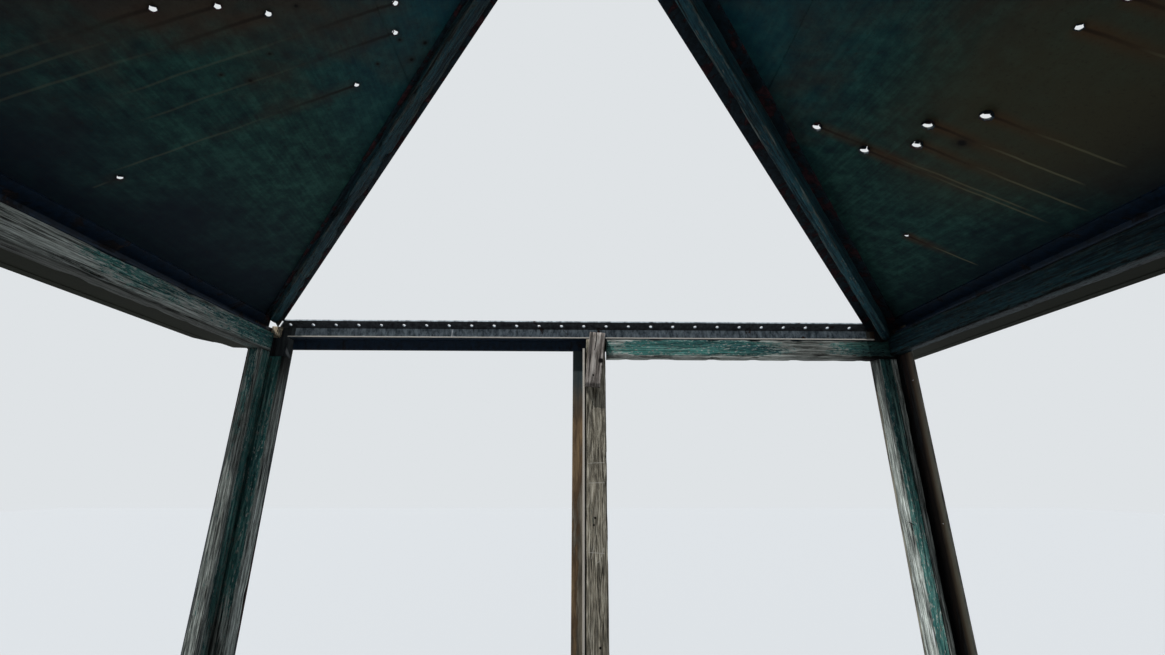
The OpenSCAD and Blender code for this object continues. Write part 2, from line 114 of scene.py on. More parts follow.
# softwood that has stood in the weather: grey fibres, dark checks along the
# grain, and where it was painted a flaking oil paint that goes first at the arrises
timberLooks = {
    "weatheredPaintedTimber": {
        "woodLight": "c0c6be", "woodDark": "303335", "woodWarm": "727770",
        "paintMain": "43766f", "paintDark": "15373a", "paintChalk": "86aaa0",
        "fibre": 4.5, "check": 15.0, "flake": 7.0,  # millimetres
        "chalky": 0.65, "cuts": [], "nails": [],
        "splits": [((0.979, 1.590), (0.994, 1.581)), ((0.984, 1.586), (0.985, 1.566)),
                   # the last is a dark line down the right front post where the lost side nailer
                   # butted
                   ((1.0215, 1.95), (1.0235, 1.10))],
    },
    # the headers have gone an even grey under small flakes of paint
    "greyedPaintedTimber": {
        "woodLight": "b0b5af", "woodDark": "5f625e", "woodWarm": "888c86",
        "paintMain": "41776f", "paintDark": "163a40", "paintChalk": "86aaa0",
        "fibre": 3.0, "check": 26.0, "flake": 4.5, "chalky": 0.5,
    },
    "weatheredBareTimber": {
        "woodLight": "b8b3a6", "woodDark": "35322d", "woodWarm": "7b7264",
        "paintMain": "35605a", "paintDark": "1c3836", "paintChalk": "7f9a90",
        "fibre": 4.5, "check": 13.0, "flake": 8.0, "chalky": 0.4,
    },
    # timbers that the roof shades kept more of their paint; this copy of the painted timber is
    # darker as painted shade
    "paintedShadeTimber": {
        "woodLight": "59615e", "woodDark": "14191a", "woodWarm": "323a3a",
        "paintMain": "21474f", "paintDark": "0e222c", "paintChalk": "3d5c5c",
        "fibre": 5.0, "check": 14.0, "flake": 9.0, "chalky": 0.15,
    },
    "brokenTimber": {
        "woodLight": "ecdfc8", "woodDark": "9c8970", "woodWarm": "cbb796",
        "paintMain": "2b4f49", "paintDark": "101f20", "paintChalk": "6b8a80",
        "fibre": 3.0, "check": 9.0, "flake": 9.0, "chalky": 0.3,
    },
    # some timbers also have pale cuts, dark splits and nail holes, given in
    # metres across the window wall and up
    "scratchedBareTimber": {
        "woodLight": "e2dbc8", "woodDark": "25211c", "woodWarm": "968c78",
        "paintMain": "35605a", "paintDark": "1c3836", "paintChalk": "7f9a90",
        "fibre": 3.0, "check": 12.0, "flake": 8.0, "chalky": 0.3,
        "cuts": [((0.013, 1.759), (0.066, 1.761)), ((0.015, 1.701), (0.064, 1.702)),
                 ((0.014, 1.508), (0.062, 1.505)), ((0.022, 1.490), (0.030, 1.527)),
                 ((0.050, 1.494), (0.058, 1.520)), ((0.034, 1.478), (0.046, 1.484))],
        "nails": [(0.034, 1.602, 0.0035), (0.030, 1.582, 0.003), (0.046, 1.266, 0.0035)],
        "splits": [((0.0288, 1.950), (0.0286, 1.925))],
    },
    # the loose block is rougher, with a dark knot
    "knottedBlockTimber": {
        "woodLight": "d0c8c0", "woodDark": "1d1a18", "woodWarm": "857a72",
        "paintMain": "35605a", "paintDark": "1c3836", "paintChalk": "7f9a90",
        "fibre": 6.0, "check": 13.0, "flake": 8.0, "chalky": 0.3,
        "cuts": [],
        "nails": [(0.0547, 2.078, 0.0085), (0.0625, 2.058, 0.006), (0.030, 2.03, 0.003)],
        "splits": [((0.0418, 2.178), (0.0404, 2.1446)), ((0.0404, 2.1446), (0.034, 2.112))],
    },
    "agedFloorTimber": {
        "woodLight": "9b8f7e", "woodDark": "4d4034", "woodWarm": "80684f",
        "paintMain": "5c6660", "paintDark": "3c423e", "paintChalk": "8a918b",
        "fibre": 6.0, "check": 18.0, "flake": 26.0, "chalky": 0.3,
    },
}
timberInks = {"check": "12100e", "dirt": "0b0f10", "cut": "c9c4ba", "split": "0d0b09",
              "nailHole": "0c0a09"}


def makeTimberMaterial(name):
    look = timberLooks[name]
    material, add, shader = startMaterial(name)
    grain = add("Attribute", attribute_name="grain").outputs["Vector"]
    arris, cover, tone = (add("Attribute", attribute_name=title).outputs["Fac"]
                          for title in ("arris", "cover", "tone"))

    # fibres are drawn some twenty times as long as they are wide, and shorter streaks of
    # weather lie over them; specks, flakes and chalk are for the paint
    across, flakeAcross = 1000 / look["fibre"], 1000 / look["flake"]
    noises = []
    for scale, detail, roughness, distortion in (
            ((across / 20, across, across), 6.0, 0.75, 0.3),
            ((6, 200, 200), 6.0, 0.8, 0.0),
            ((75, 230, 230), 3.0, 0.5, 0.0),
            ((2.0, 38, 38), 4.0, 0.5, 0.0),
            ((5, 16, 16), 4.0, 0.5, 0.0),
            ((flakeAcross / 4, flakeAcross, flakeAcross), 9.0, 0.75, 0.3),
            ((6, 140, 140), 5.0, 0.7, 0.0)):
        space = add("Mapping", {"Vector": grain, "Scale": scale})
        noises.append(add("TexNoise", {
            "Vector": space, "Scale": 1.0, "Detail": detail, "Roughness": roughness,
            "Distortion": distortion}))
    fibre, streak, speck, band, patch, flake, chalk = noises
    checks = None
    for width, wide in ((look["check"], 0.030), (look["check"] * 0.45, 0.036)):
        checkAcross = 1000 / width
        checkSpace = add("Mapping", {"Vector": grain, "Location": (width, 0, 0),
            "Scale": (checkAcross / 40, checkAcross, checkAcross)})
        check = add("TexNoise", {"Vector": checkSpace, "Scale": 1.0, "Detail": 2.5})
        checkOff = add("Math", [check, 0.5], operation="SUBTRACT")
        checkSize = add("Math", [checkOff], operation="ABSOLUTE")
        checkLine = add("MapRange", [checkSize, 0.004, wide, 1.0, 0.0])
        checkWhere = add("MapRange", [fibre, 0.58, 0.42])
        line = add("Math", [checkLine, checkWhere], operation="MULTIPLY")
        checks = line if checks is None else add("Math", [checks, line], operation="MAXIMUM")

    wood = add("ValToRGB", [fibre], stops=[(0.38, look["woodDark"]),
        (0.50, look["woodWarm"]), (0.61, look["woodLight"])])
    grey = add("Mix", [band, look["woodDark"], look["woodLight"]])
    wood = add("Mix", [0.28, wood.outputs["Color"], grey])
    # tone lightens or darkens the wood here and the paint below: weathering, and on some timbers
    # painted light and painted shade
    bleachAndPaintedLight = add("MapRange", [tone, 0, 1, 0.35, 1.25], clamp=False)
    streakTone = add("MapRange", [streak, 0.36, 0.64, 0.42, 1.42])
    bleachAndPaintedLight = add("Math", [bleachAndPaintedLight, streakTone], operation="MULTIPLY")
    wood = add("Mix", [1.0, wood, bleachAndPaintedLight], blend_type="MULTIPLY", clamp_result=True)
    wood = add("Mix", [checks, wood, timberInks["check"]])

    # paint is left where a flaky noise is under the cover, less at the arrises,
    # and it lets go along the raised fibres first
    spread = add("MapRange", [flake, 0.3, 0.7], clamp=False)
    height = add("Math", [spread, patch], operation="ADD")
    height = add("Math", [fibre, 0.9, height], operation="MULTIPLY_ADD")
    height = add("Math", [height, 0.95], operation="SUBTRACT")
    rub = add("Math", [arris, 0.45, height], operation="MULTIPLY_ADD")
    left = add("Math", [cover, rub], operation="SUBTRACT")
    paint = add("MapRange", [left, -0.03, 0.04])
    lifted = add("MapRange", [speck, 0.575, 0.635, 1.0, 0.1])
    paint = add("Math", [paint, lifted], operation="MULTIPLY")
    rim = add("MapRange", [left, 0.16, 0.02])
    paintTone = add("Math", [flake, 0.5], operation="MULTIPLY")
    paintTone = add("Math", [band, 0.5, paintTone], operation="MULTIPLY_ADD")
    paintTone = add("MapRange", [paintTone, 0.40, 0.60])
    paintColour = add("Mix", [paintTone, look["paintDark"], look["paintMain"]])
    rimAmount = add("Math", [rim, 0.5], operation="MULTIPLY")
    paintColour = add("Mix", [rimAmount, paintColour, look["paintChalk"]])
    chalkAmount = add("MapRange", [chalk, 0.52, 0.66, 0, look["chalky"]])
    paintColour = add("Mix", [chalkAmount, paintColour, look["paintChalk"]])
    washed = add("MapRange", [tone, 0, 1, 0.62, 1.15], clamp=False)
    paintStreak = add("MapRange", [streak, 0.36, 0.64, 0.5, 1.6])
    washed = add("Math", [washed, paintStreak], operation="MULTIPLY")
    paintColour = add("Mix", [1.0, paintColour, washed], blend_type="MULTIPLY")
    dirt = add("MapRange", [fibre, 0.48, 0.38, 0, 0.85])
    paintColour = add("Mix", [dirt, paintColour, timberInks["dirt"]])
    colour = add("Mix", [paint, wood, paintColour])

    if "cuts" in look:
        place = add("TexCoord").outputs["Object"]
        spot = add("SeparateXYZ", [place])
        flat = add("CombineXYZ", {"X": spot.outputs["X"], "Z": spot.outputs["Z"]})
        marks = [(cut, timberInks["cut"], 0.0010, 0.6) for cut in look["cuts"]]
        marks += [(split, timberInks["split"], 0.0013, 0.95) for split in look["splits"]]
        for (start, end), ink, wide, strength in marks:
            length = math.dist(start, end)
            unit = ((end[0] - start[0]) / length, (end[1] - start[1]) / length)
            middle = ((start[0] + end[0]) / 2, (start[1] + end[1]) / 2)
            inside = strength  # within half its length along the cut, and within its width off it
            for x, z, reach in ((unit[0], unit[1], length / 2), (-unit[1], unit[0], wide)):
                along = add("VectorMath", [place, (x, 0, z)], operation="DOT_PRODUCT")
                centre = middle[0] * x + middle[1] * z
                within = add("Math", [along.outputs["Value"], centre, reach], operation="COMPARE")
                inside = add("Math", [within, inside], operation="MULTIPLY")
            colour = add("Mix", [inside, colour, ink])
        for x, z, radius in look["nails"]:
            away = add("VectorMath", [flat, (x, 0, z)], operation="DISTANCE")
            hole = add("MapRange", [away.outputs["Value"], radius * 0.7, radius * 1.3, 1, 0])
            colour = add("Mix", [hole, colour, timberInks["nailHole"]])

    rough = add("MapRange", [paint, 0, 1, 0.9, 0.62])
    relief = add("Math", [paint, 0.35, fibre], operation="MULTIPLY_ADD")
    relief = add("Math", [checks, -1.0, relief], operation="MULTIPLY_ADD")
    bump = add("Bump", {"Strength": 0.9, "Distance": 0.0014, "Height": relief})
    feedNode(shader, {"Base Color": colour, "Roughness": rough, "Specular IOR Level": 0.12,
                      "Normal": bump})
    return material


# rolled structural steel, shop primed and painted once, then rusted through:
# slate paint with brown blooms, orange streaks and pits
steelLooks = {
    "oldPaintedEaveSteel": {
        # under is painted shade: a dark brown laid on the faces turned down
        "paint": "a9b5bc", "paintDark": "4b565e", "cover": 0.80, "under": "241f20",
        "rust": "49362f", "rustLight": "6d4e3c", "rustDark": "261a17",
        "bloom": 60.0, "pit": 4.0, "streak": (1, 1, 0.5),  # millimetres, and the bloom's stretch
    },
    "navyHeadSteel": {
        "paint": "0b2236", "paintDark": "06131f", "cover": 0.76, "edge": 1.0236, "rubbedAndHighlight": "c6c0b5",
        "rust": "18161b", "rustLight": "41332d", "rustDark": "100f14",
        "bloom": 60.0, "pit": 4.0, "streak": (1, 1, 0.5),
    },
    "rustedHipSteel": {
        "paint": "1b2c36", "paintDark": "0e181e", "cover": 0.55,
        "rust": "371e24", "rustLight": "4a2c2e", "rustDark": "140e12",
        "bloom": 45.0, "pit": 4.0, "streak": (1, 1, 0.6),
    },
    # the post legs show these bands from the free edge to the corner: a dark edge, a pale rim
    # and rust streaks, going black into the corner as painted shade
    "streakedPostSteel": {
        "paint": "454a4c", "paintDark": "23272b", "cover": 0.5,
        "rust": "382b28", "rustLight": "5a4438", "rustDark": "1b1618",
        "bloom": 40.0, "pit": 4.0, "streak": (1, 1, 0.12),
        "bands": [(0.0, "1c1a18"), (0.04, "a8a493"), (0.15, "a4967e"), (0.25, "77634f"),
                  (0.38, "2a2522"), (1.0, "0f0d0c")],
    },
    "greyBarSteel": {
        "paint": "7f786a", "paintDark": "4b463c", "cover": 0.5, "edge": 1.0258, "rubbedAndHighlight": "c6c0b5",
        # top is the dark teal of a mullion's head, with the eave's painted shadow in it
        "rust": "6b5842", "rustLight": "8b7556", "rustDark": "483828", "top": "22373d",
        "bloom": 60.0, "pit": 4.0, "streak": (1, 1, 0.12),
    },
    "rustedFrameSteel": {
        "paint": "4a4e4d", "paintDark": "2a2c2c", "cover": 0.45,
        "rust": "5d3d2c", "rustLight": "875a3c", "rustDark": "2e1e17",
        "bloom": 70.0, "pit": 5.0, "streak": (1, 1, 0.5),
    },
}


def makeSteelMaterial(name):
    look = steelLooks[name]
    material, add, shader = startMaterial(name)
    place = add("TexCoord").outputs["Object"]
    streakSpace = add("Mapping", {"Vector": place, "Scale": look["streak"]})
    bloom = add("TexNoise", {"Vector": streakSpace, "Scale": 1000 / look["bloom"],
        "Detail": 9.0, "Roughness": 0.66, "Distortion": 0.5})
    spread = add("MapRange", [bloom, 0.3, 0.7])
    left = add("Math", [look["cover"], spread], operation="SUBTRACT")
    paint = add("MapRange", [left, -0.05, 0.06])
    edge = add("MapRange", [left, -0.12, 0.0])
    pit = add("TexNoise", {"Vector": place, "Scale": 1000 / look["pit"], "Detail": 4.0,
        "Roughness": 0.7})
    mottle = add("TexNoise", {"Vector": streakSpace, "Scale": 1000 / 14.0, "Detail": 6.0,
        "Roughness": 0.7})
    rust = add("ValToRGB", [mottle], stops=[(0.32, look["rustDark"]), (0.5, look["rust"]),
        (0.66, look["rustLight"])])
    rust = add("Mix", [edge, rust.outputs["Color"], look["rustDark"]])
    paintTone = add("MapRange", [mottle, 0.38, 0.62])
    paintColour = add("Mix", [paintTone, look["paintDark"], look["paint"]])
    colour = add("Mix", [paint, rust, paintColour])
    spot = add("SeparateXYZ", [place])
    sideways = add("Math", [spot.outputs["X"]], operation="ABSOLUTE")
    forward = add("Math", [spot.outputs["Y"]], operation="ABSOLUTE")
    if "under" in look:  # the faces turned down are painted darker and browner, painted shade
        normal = add("NewGeometry").outputs["Normal"]
        facing = add("SeparateXYZ", [normal])
        down = add("MapRange", [facing.outputs["Z"], -0.3, -0.7, 0, 0.85])
        colour = add("Mix", [down, colour, look["under"]])
    if "top" in look:  # the head of a mullion is painted dark teal: paint it kept, darkened as painted shadow of the eave
        headPaintAndShadeMask = add("MapRange", [spot.outputs["Z"], 1.88, 2.02, 0, 0.85])
        colour = add("Mix", [headPaintAndShadeMask, colour, look["top"]])
    if "edge" in look:  # the edge towards the room is painted pale metal: partly worn down, partly a painted highlight of its sunlit edge
        outwards = add("Math", [sideways, forward], operation="MAXIMUM")
        rubbedAndHighlightMask = add("Math", [outwards, look["edge"]], operation="LESS_THAN")
        front = add("Math", [spot.outputs["Y"], 1.0], operation="GREATER_THAN")
        rubbedAndHighlightMask = add("Math", [rubbedAndHighlightMask, front], operation="MULTIPLY")
        rubbedAndHighlightMask = add("Math", [rubbedAndHighlightMask, 0.95], operation="MULTIPLY")
        colour = add("Mix", [rubbedAndHighlightMask, colour, look["rubbedAndHighlight"]])
    if "bands" in look:
        inwards = add("Math", [sideways, forward], operation="MINIMUM")
        inwards = add("MapRange", [inwards, cab["post"] - 0.002, cab["half"]])
        wavy = add("Math", [mottle, 0.2, inwards], operation="MULTIPLY_ADD")
        wavy = add("Math", [wavy, 0.1], operation="SUBTRACT")
        bands = add("ValToRGB", [wavy], stops=look["bands"])
        # only the right posts get the bands, weaker towards the top; the left posts keep the darker
        # plain colour as painted shade
        rightSide = add("Math", [spot.outputs["X"], 0.0], operation="GREATER_THAN")
        lowDown = add("MapRange", [spot.outputs["Z"], 2.1, 1.7, 0.25, 0.75])
        rightSide = add("Math", [rightSide, lowDown], operation="MULTIPLY")
        colour = add("Mix", [rightSide, colour, bands.outputs["Color"]])
    rough = add("MapRange", [paint, 0, 1, 0.88, 0.55])
    relief = add("Math", [paint, 0.5, pit], operation="MULTIPLY_ADD")
    bump = add("Bump", {"Strength": 0.8, "Distance": 0.0008, "Height": relief})
    feedNode(shader, {"Base Color": colour, "Roughness": rough, "Specular IOR Level": 0.25,
                      "Normal": bump})
    return material


# rolled roof sheet painted dark green by hand: a mottled flat coat with faint brush
# marks, brown blooms of rust, a damp dark band by the eave, small shot dents, and
# below each bullet hole a rust run that thins to a pale wash line down the slope
roofLook = {
    "green": "163734", "greenDark": "081f24", "greenPale": "254c45", "peak": "104a5a",
    "damp": "081220", "overhang": "2c2c20", "dent": "070607",
    "brown": "413930", "brownDark": "201c17", "outside": "5a6a5f", "outsideRust": "6b4630",
    "runDark": "140b08", "runHalo": "4c2d13", "runPale": "6b6850", "wash": "3a3828",
    "outsideDark": "35443c", "outsidePale": "6d7466",
    "brush": 7.0, "bloom": 240.0, "mottle": 34.0, "speck": 6.0,  # millimetres
}
# bullet holes as shares of the half width: along the eave, level run in from it
bulletHoles = {
    "left": [(-0.054, 0.365), (-0.076, 0.433), (-0.108, 0.484), (-0.280, 0.544), (-0.296, 0.135),
             (-0.155, 0.657), (-0.206, 0.640)],
    "right": [(0.360, 0.515), (0.370, 0.416), (0.311, 0.351), (0.262, 0.363), (0.205, 0.306),
              (0.037, 0.312), (-0.013, 0.298), (0.560, 0.218)],
    "back": [],
}
# dents as [along, outwards, radius] in each slope's own plan, metres
shotDents = {
    "left": [(0.117, 0.509, 0.0035), (0.180, 0.584, 0.003), (0.188, 0.667, 0.003),
             (0.216, 0.636, 0.0035), (0.287, 0.375, 0.004), (0.270, 0.435, 0.003),
             (0.261, 0.341, 0.004), (0.237, 0.382, 0.003)],
    "right": [(-0.292, 0.750, 0.008)],
    "back": [],
}
# each slope's turn about the cab, how its rust leans along the eave, where the damp band
# starts, and how much rust wash and how strong the runs are
roofSides = {
    "left": {"turn": 90, "brownShift": -0.6, "dampFrom": 0.98, "washed": 0.0, "shown": 0.3},
    "right": {"turn": 270, "brownShift": 0.6, "dampFrom": 1.14, "washed": 0.85, "shown": 1.0},
    "back": {"turn": 180, "brownShift": 0.0, "dampFrom": 1.1, "washed": 0.0, "shown": 0.0},
}


def roofRuns(side):  # every hole has a run down the slope from it
    runs = []
    chance = random.Random(4)
    half = cab["half"]
    for along, inwards in bulletHoles[side]:
        reach = inwards * half - chance.uniform(0.05, 0.11)
        strength = chance.uniform(0.7, 0.95)
        runs.append((-along * half, (1 - inwards) * half, min(reach, 0.44), strength))
    return runs


def makeRoofMaterial(name, side):
    look, given = roofLook, roofSides[side]
    shown, dampFrom = given["shown"], given["dampFrom"]
    material, add, shader = startMaterial(name)
    place = add("TexCoord").outputs["Object"]
    # u along the eave, v down the slope in plan, both in metres
    plan = add("Mapping", {
        "Vector": place, "Rotation": (0, 0, -math.radians(given["turn"]))}, vector_type="POINT")
    split = add("SeparateXYZ", [plan])
    u, v = split.outputs["X"], split.outputs["Y"]

    brushSpace = add("Mapping", {"Vector": plan, "Rotation": (0, 0, 0.08),
        "Scale": (0.22, look["brush"] / 1000, 0.22)}, vector_type="TEXTURE")
    brush = add("TexNoise", {"Vector": brushSpace, "Scale": 1.0, "Detail": 5.0, "Roughness": 0.6})
    bloom = add("TexNoise", {"Vector": place, "Scale": 1000 / look["bloom"],
        "Detail": 7.0, "Roughness": 0.6, "Distortion": 0.3})
    mottle = add("TexNoise", {"Vector": place, "Scale": 1000 / look["mottle"],
        "Detail": 8.0, "Roughness": 0.72})
    speck = add("TexNoise", {"Vector": place, "Scale": 1000 / look["speck"],
        "Detail": 3.0, "Roughness": 0.75})
    both = add("Math", [brush, 0.28], operation="MULTIPLY")
    both = add("Math", [mottle, 0.72, both], operation="MULTIPLY_ADD")
    green = add("ValToRGB", [both], stops=[(0.37, look["greenDark"]),
        (0.5, look["green"]), (0.63, look["greenPale"])])
    # bluer towards the peak
    high = add("MapRange", [v, 0.60, 0.15, 0, 0.65])
    green = add("Mix", [high, green.outputs["Color"], look["peak"]])
    brown = add("Mix", [mottle, look["brownDark"], look["brown"]])
    # rust shows through more towards the back of the cab, away from the open side
    lean = add("Math", [u, given["brownShift"], bloom], operation="MULTIPLY_ADD")
    brownMask = add("MapRange", [lean, 0.33, 0.55, 0, 0.9])
    colour = add("Mix", [brownMask, green, brown])
    dampAt = add("Math", [bloom, 0.5, v], operation="MULTIPLY_ADD")
    damp = add("MapRange", [dampAt, dampFrom, dampFrom + 0.22, 0, 0.85])
    colour = add("Mix", [damp, colour, look["damp"]])
    # the overhang outside the wall is browner
    beyond = add("MapRange", [v, cab["half"], cab["half"] + 0.01, 0, 0.75])
    colour = add("Mix", [beyond, colour, look["overhang"]])
    # rust washed down from the holes has stained the paint between the runs, metres
    washSpace = add("Mapping", {"Vector": plan, "Location": (-0.17, 0.80, 0),
        "Scale": (0.36, 0.26, 100)}, vector_type="TEXTURE")
    washAway = add("VectorMath", [washSpace], operation="LENGTH").outputs["Value"]
    washMask = add("MapRange", [washAway, 0.25, 1.05, given["washed"], 0],
        interpolation_type="SMOOTHSTEP")
    colour = add("Mix", [washMask, colour, look["wash"]])
    speckMask = add("MapRange", [speck, 0.56, 0.72, 0, 0.5])
    colour = add("Mix", [speckMask, colour, look["brownDark"]])

    # runs wander a few millimetres; the rust is dark and wide near the hole and
    # leaves a thin pale line farther down
    wander = add("TexNoise", {"W": v, "Scale": 5.0, "Detail": 3.0}, noise_dimensions="1D")
    for startU, startV, reach, strength in roofRuns(side):
        way = 1 if strength > 0.8 else -1
        wanderBy = add("Math", [wander, 0.010 * way, -startU - 0.005 * way],
            operation="MULTIPLY_ADD")
        off = add("Math", [u, wanderBy], operation="ADD")
        off = add("Math", [off], operation="ABSOLUTE")
        down = add("Math", [v, startV], operation="SUBTRACT")
        begun = add("MapRange", [down, -0.010, 0.004])
        paleBegun = add("MapRange", [down, reach * 0.3, reach * 0.6])
        # how far each layer spreads to the side, where it fades down the run, and its strength
        for ink, near, far, most, fadeFrom, fadeTo, amount, onset, form in (
                ("runHalo", 0.0, 0.024, 0.75, 0.0, 0.75, shown, begun, "SMOOTHSTEP"),
                ("runDark", 0.0012, 0.0042, 1.0, 0.0, 0.45, 1.0, begun, "LINEAR"),
                ("runPale", 0.0009, 0.0028, 1.0, 0.9, 1.0, 0.7 * shown, paleBegun, "LINEAR")):
            beside = add("MapRange", [off, near, far, most, 0], interpolation_type=form)
            fade = add("MapRange", [down, reach * fadeFrom, reach * fadeTo, strength * amount, 0])
            for part in (fade, onset):
                beside = add("Math", [beside, part], operation="MULTIPLY")
            colour = add("Mix", [beside, colour, look[ink]])

    # shot that did not go through left dark dents
    for dentU, dentV, radius in shotDents[side]:
        flat = add("CombineXYZ", {"X": u, "Y": v})
        away = add("VectorMath", [flat, (dentU, dentV, 0)], operation="DISTANCE")
        away = add("Math", [mottle, radius, away.outputs["Value"]], operation="MULTIPLY_ADD")
        for spread, strength, ink in ((3.2, 0.75, look["brownDark"]), (1.6, 0.95, look["dent"])):
            dark = add("MapRange", [away, radius, radius * spread, strength, 0])
            colour = add("Mix", [dark, colour, ink])

    # the weather side has faded and rusts from the laps
    facing = add("NewGeometry").outputs["Normal"]
    facingUp = add("SeparateXYZ", [facing]).outputs["Z"]
    outside = add("Math", [facingUp, 0.2], operation="GREATER_THAN")
    rainSpace = add("Mapping", {"Vector": plan, "Scale": (45, 4, 4)})
    rain = add("TexNoise", {"Vector": rainSpace, "Scale": 1.0, "Detail": 7.0, "Roughness": 0.7})
    faded = add("ValToRGB", [rain], stops=[
        (0.3, look["outsideDark"]), (0.5, look["outside"]), (0.62, look["outsidePale"]),
        (0.72, look["outsideRust"])])
    colour = add("Mix", [outside, colour, faded.outputs["Color"]])
    relief = add("Math", [speck, 0.3, brush], operation="MULTIPLY_ADD")
    bump = add("Bump", {"Strength": 0.35, "Distance": 0.0006, "Height": relief})
    feedNode(shader, {"Base Color": colour, "Roughness": 0.72, "Specular IOR Level": 0.12,
                      "Normal": bump})
    return material


# hot dipped galvanised sheet that has gone dull: soft zinc spangle, white bloom and
# rust that runs down from the bolts and the cut edges
zincLook = {"zinc": "8d9495", "zincPale": "a9afae", "zincDark": "6c7475", "bloom": "b9beb9",
            "rust": "7a4f36", "spangle": 14.0, "cloud": 190.0, "wave": 320.0}  # millimetres


def makeZincMaterial(name):
    look = zincLook
    material, add, shader = startMaterial(name)
    place = add("TexCoord").outputs["Object"]
    spangle = add("TexVoronoi", {"Vector": place, "Scale": 1000 / look["spangle"],
        "Randomness": 1.0}, feature="F1")
    grey = add("Mix", [spangle.outputs["Color"], look["zincDark"], look["zincPale"]])
    grey = add("Mix", [0.65, grey, look["zinc"]])
    cloud = add("TexNoise", {"Vector": place, "Scale": 1000 / look["cloud"],
        "Detail": 8.0, "Roughness": 0.62})
    cloudMask = add("MapRange", [cloud, 0.48, 0.66, 0, 0.6])
    colour = add("Mix", [cloudMask, grey, look["bloom"]])
    streakSpace = add("Mapping", {"Vector": place, "Scale": (30, 30, 1.6)})
    streak = add("TexNoise", {"Vector": streakSpace, "Scale": 1.0, "Detail": 7.0,
        "Roughness": 0.68})
    # rust is strongest along the foot and under the sill
    height = add("SeparateXYZ", [place]).outputs["Z"]
    foot = add("MapRange", [height, 0.0, 0.35, 0.16, 0.0])
    head = add("MapRange", [height, 0.55, 1.03, 0.0, 0.10])
    rusty = add("Math", [streak, foot], operation="ADD")
    rusty = add("Math", [rusty, head], operation="ADD")
    rustMask = add("MapRange", [rusty, 0.6, 0.72, 0, 0.85])
    colour = add("Mix", [rustMask, colour, look["rust"]])
    metal = add("MapRange", [rustMask, 0, 1, 0.55, 0.0])
    rough = add("MapRange", [rustMask, 0, 1, 0.5, 0.9])
    # the sheet is a little wavy between its girts
    wave = add("TexNoise", {"Vector": place, "Scale": 1000 / look["wave"], "Detail": 1.0})
    bump = add("Bump", {"Strength": 0.5, "Distance": 0.012, "Height": wave})
    feedNode(shader, {"Base Color": colour, "Metallic": metal, "Roughness": rough, "Normal": bump})
    return material


# plain steel bolts and nails that were never painted: even brown rust, darker in the corners
fastenerLook = {"rustDark": "2b1d16", "rust": "553628", "rustLight": "7c5238", "crust": 5.0}


def makeFastenerMaterial(name):
    look = fastenerLook
    material, add, shader = startMaterial(name)
    place = add("TexCoord").outputs["Object"]
    crust = add("TexNoise", {"Vector": place, "Scale": 1000 / look["crust"], "Detail": 5.0})
    colour = add("ValToRGB", [crust], stops=[
        (0.35, look["rustDark"]), (0.55, look["rust"]), (0.72, look["rustLight"])])
    bump = add("Bump", {"Strength": 0.6, "Distance": 0.0006, "Height": crust})
    feedNode(shader, {"Base Color": colour, "Roughness": 0.85, "Normal": bump})
    return material


timberMaterials = {name: makeTimberMaterial(name) for name in timberLooks}
steelMaterials = {name: makeSteelMaterial(name) for name in steelLooks}
fastenerMaterial = makeFastenerMaterial("rustedFasteners")
zincMaterial = makeZincMaterial("dullGalvanisedSheet")
print("materials made")


def finishNode(name, material):
    nodes[name].data.materials.clear()
    nodes[name].data.materials.append(material)


steelFinishes = {
    "rustedFrameSteel": ("base_beams", "base_ties", "wall_girts", "sill_angles"),
    "streakedPostSteel": ("corner_posts",),
    "greyBarSteel": ("mullion_front", "mullions_other"),
    "navyHeadSteel": ("head_angle_front", "head_angles_other",
                      "eave_back", "eave_left", "eave_right"),
    "oldPaintedEaveSteel": ("eave_front_left", "eave_front_right"),
    "rustedHipSteel": ("hip_front_left", "hip_front_right", "hip_back_left", "hip_back_right",
                       "peak_hub"),
}
for finish, nodeNames in steelFinishes.items():
    for nodeName in nodeNames:
        finishNode(nodeName, steelMaterials[finish])
roofMaterials = {
    side: makeRoofMaterial("brushPaintedRoofSheet" + side.capitalize(), side) for side in roofSides}
for nodeName in nodes:
    if nodeName.startswith("wall_") and nodeName != "wall_girts":
        finishNode(nodeName, zincMaterial)
    if nodeName.startswith("roof_"):
        side = next((s for s in ("left", "right") if s in nodeName), "back")
        finishNode(nodeName, roofMaterials[side])
print("steel and sheet finished")


def sectionPoints(halfWide, halfDeep, radius, step):
    # points round a timber's section, each with its outward direction and how near an arris it is
    points = []
    corners = [(1, 1), (-1, 1), (-1, -1), (1, -1)]
    for number, (sideways, upward) in enumerate(corners):
        middle = (sideways * (halfWide - radius), upward * (halfDeep - radius))
        for part in range(3):
            turn = math.radians(90 * number + 45 * part)
            points.append((middle[0] + radius * math.cos(turn), middle[1] + radius * math.sin(turn),
                           math.cos(turn), math.sin(turn), 1.0))
        after = corners[(number + 1) % 4]
        end = (after[0] * (halfWide - radius), after[1] * (halfDeep - radius))
        out = (math.cos(math.radians(90 * (number + 1))), math.sin(math.radians(90 * (number + 1))))
        start = (middle[0] + radius * out[0], middle[1] + radius * out[1])
        finish = (end[0] + radius * out[0], end[1] + radius * out[1])
        length = math.dist(start, finish)
        count = max(1, round(length / step))
        for part in range(1, count):
            share = part / count
            near = min(share, 1 - share) * length
            points.append((start[0] + (finish[0] - start[0]) * share,
                           start[1] + (finish[1] - start[1]) * share,
                           out[0], out[1], max(0.0, 0.8 - near / 0.012)))
    return points


# how a timber is worn unless its piece says otherwise: paint cover and tone at its two ends,
# radius of its arrises, steps round it and along it, how firm the arrises hold, how deep they
# chip and how rough the ends are, in metres
usualWear = {"cover": (1, 1), "tone": (1, 1), "radius": 0.0025, "step": 0.010, "spacing": 0.014,
             "hold": 0.18, "chip": 0.010, "ragged": 0.0008}


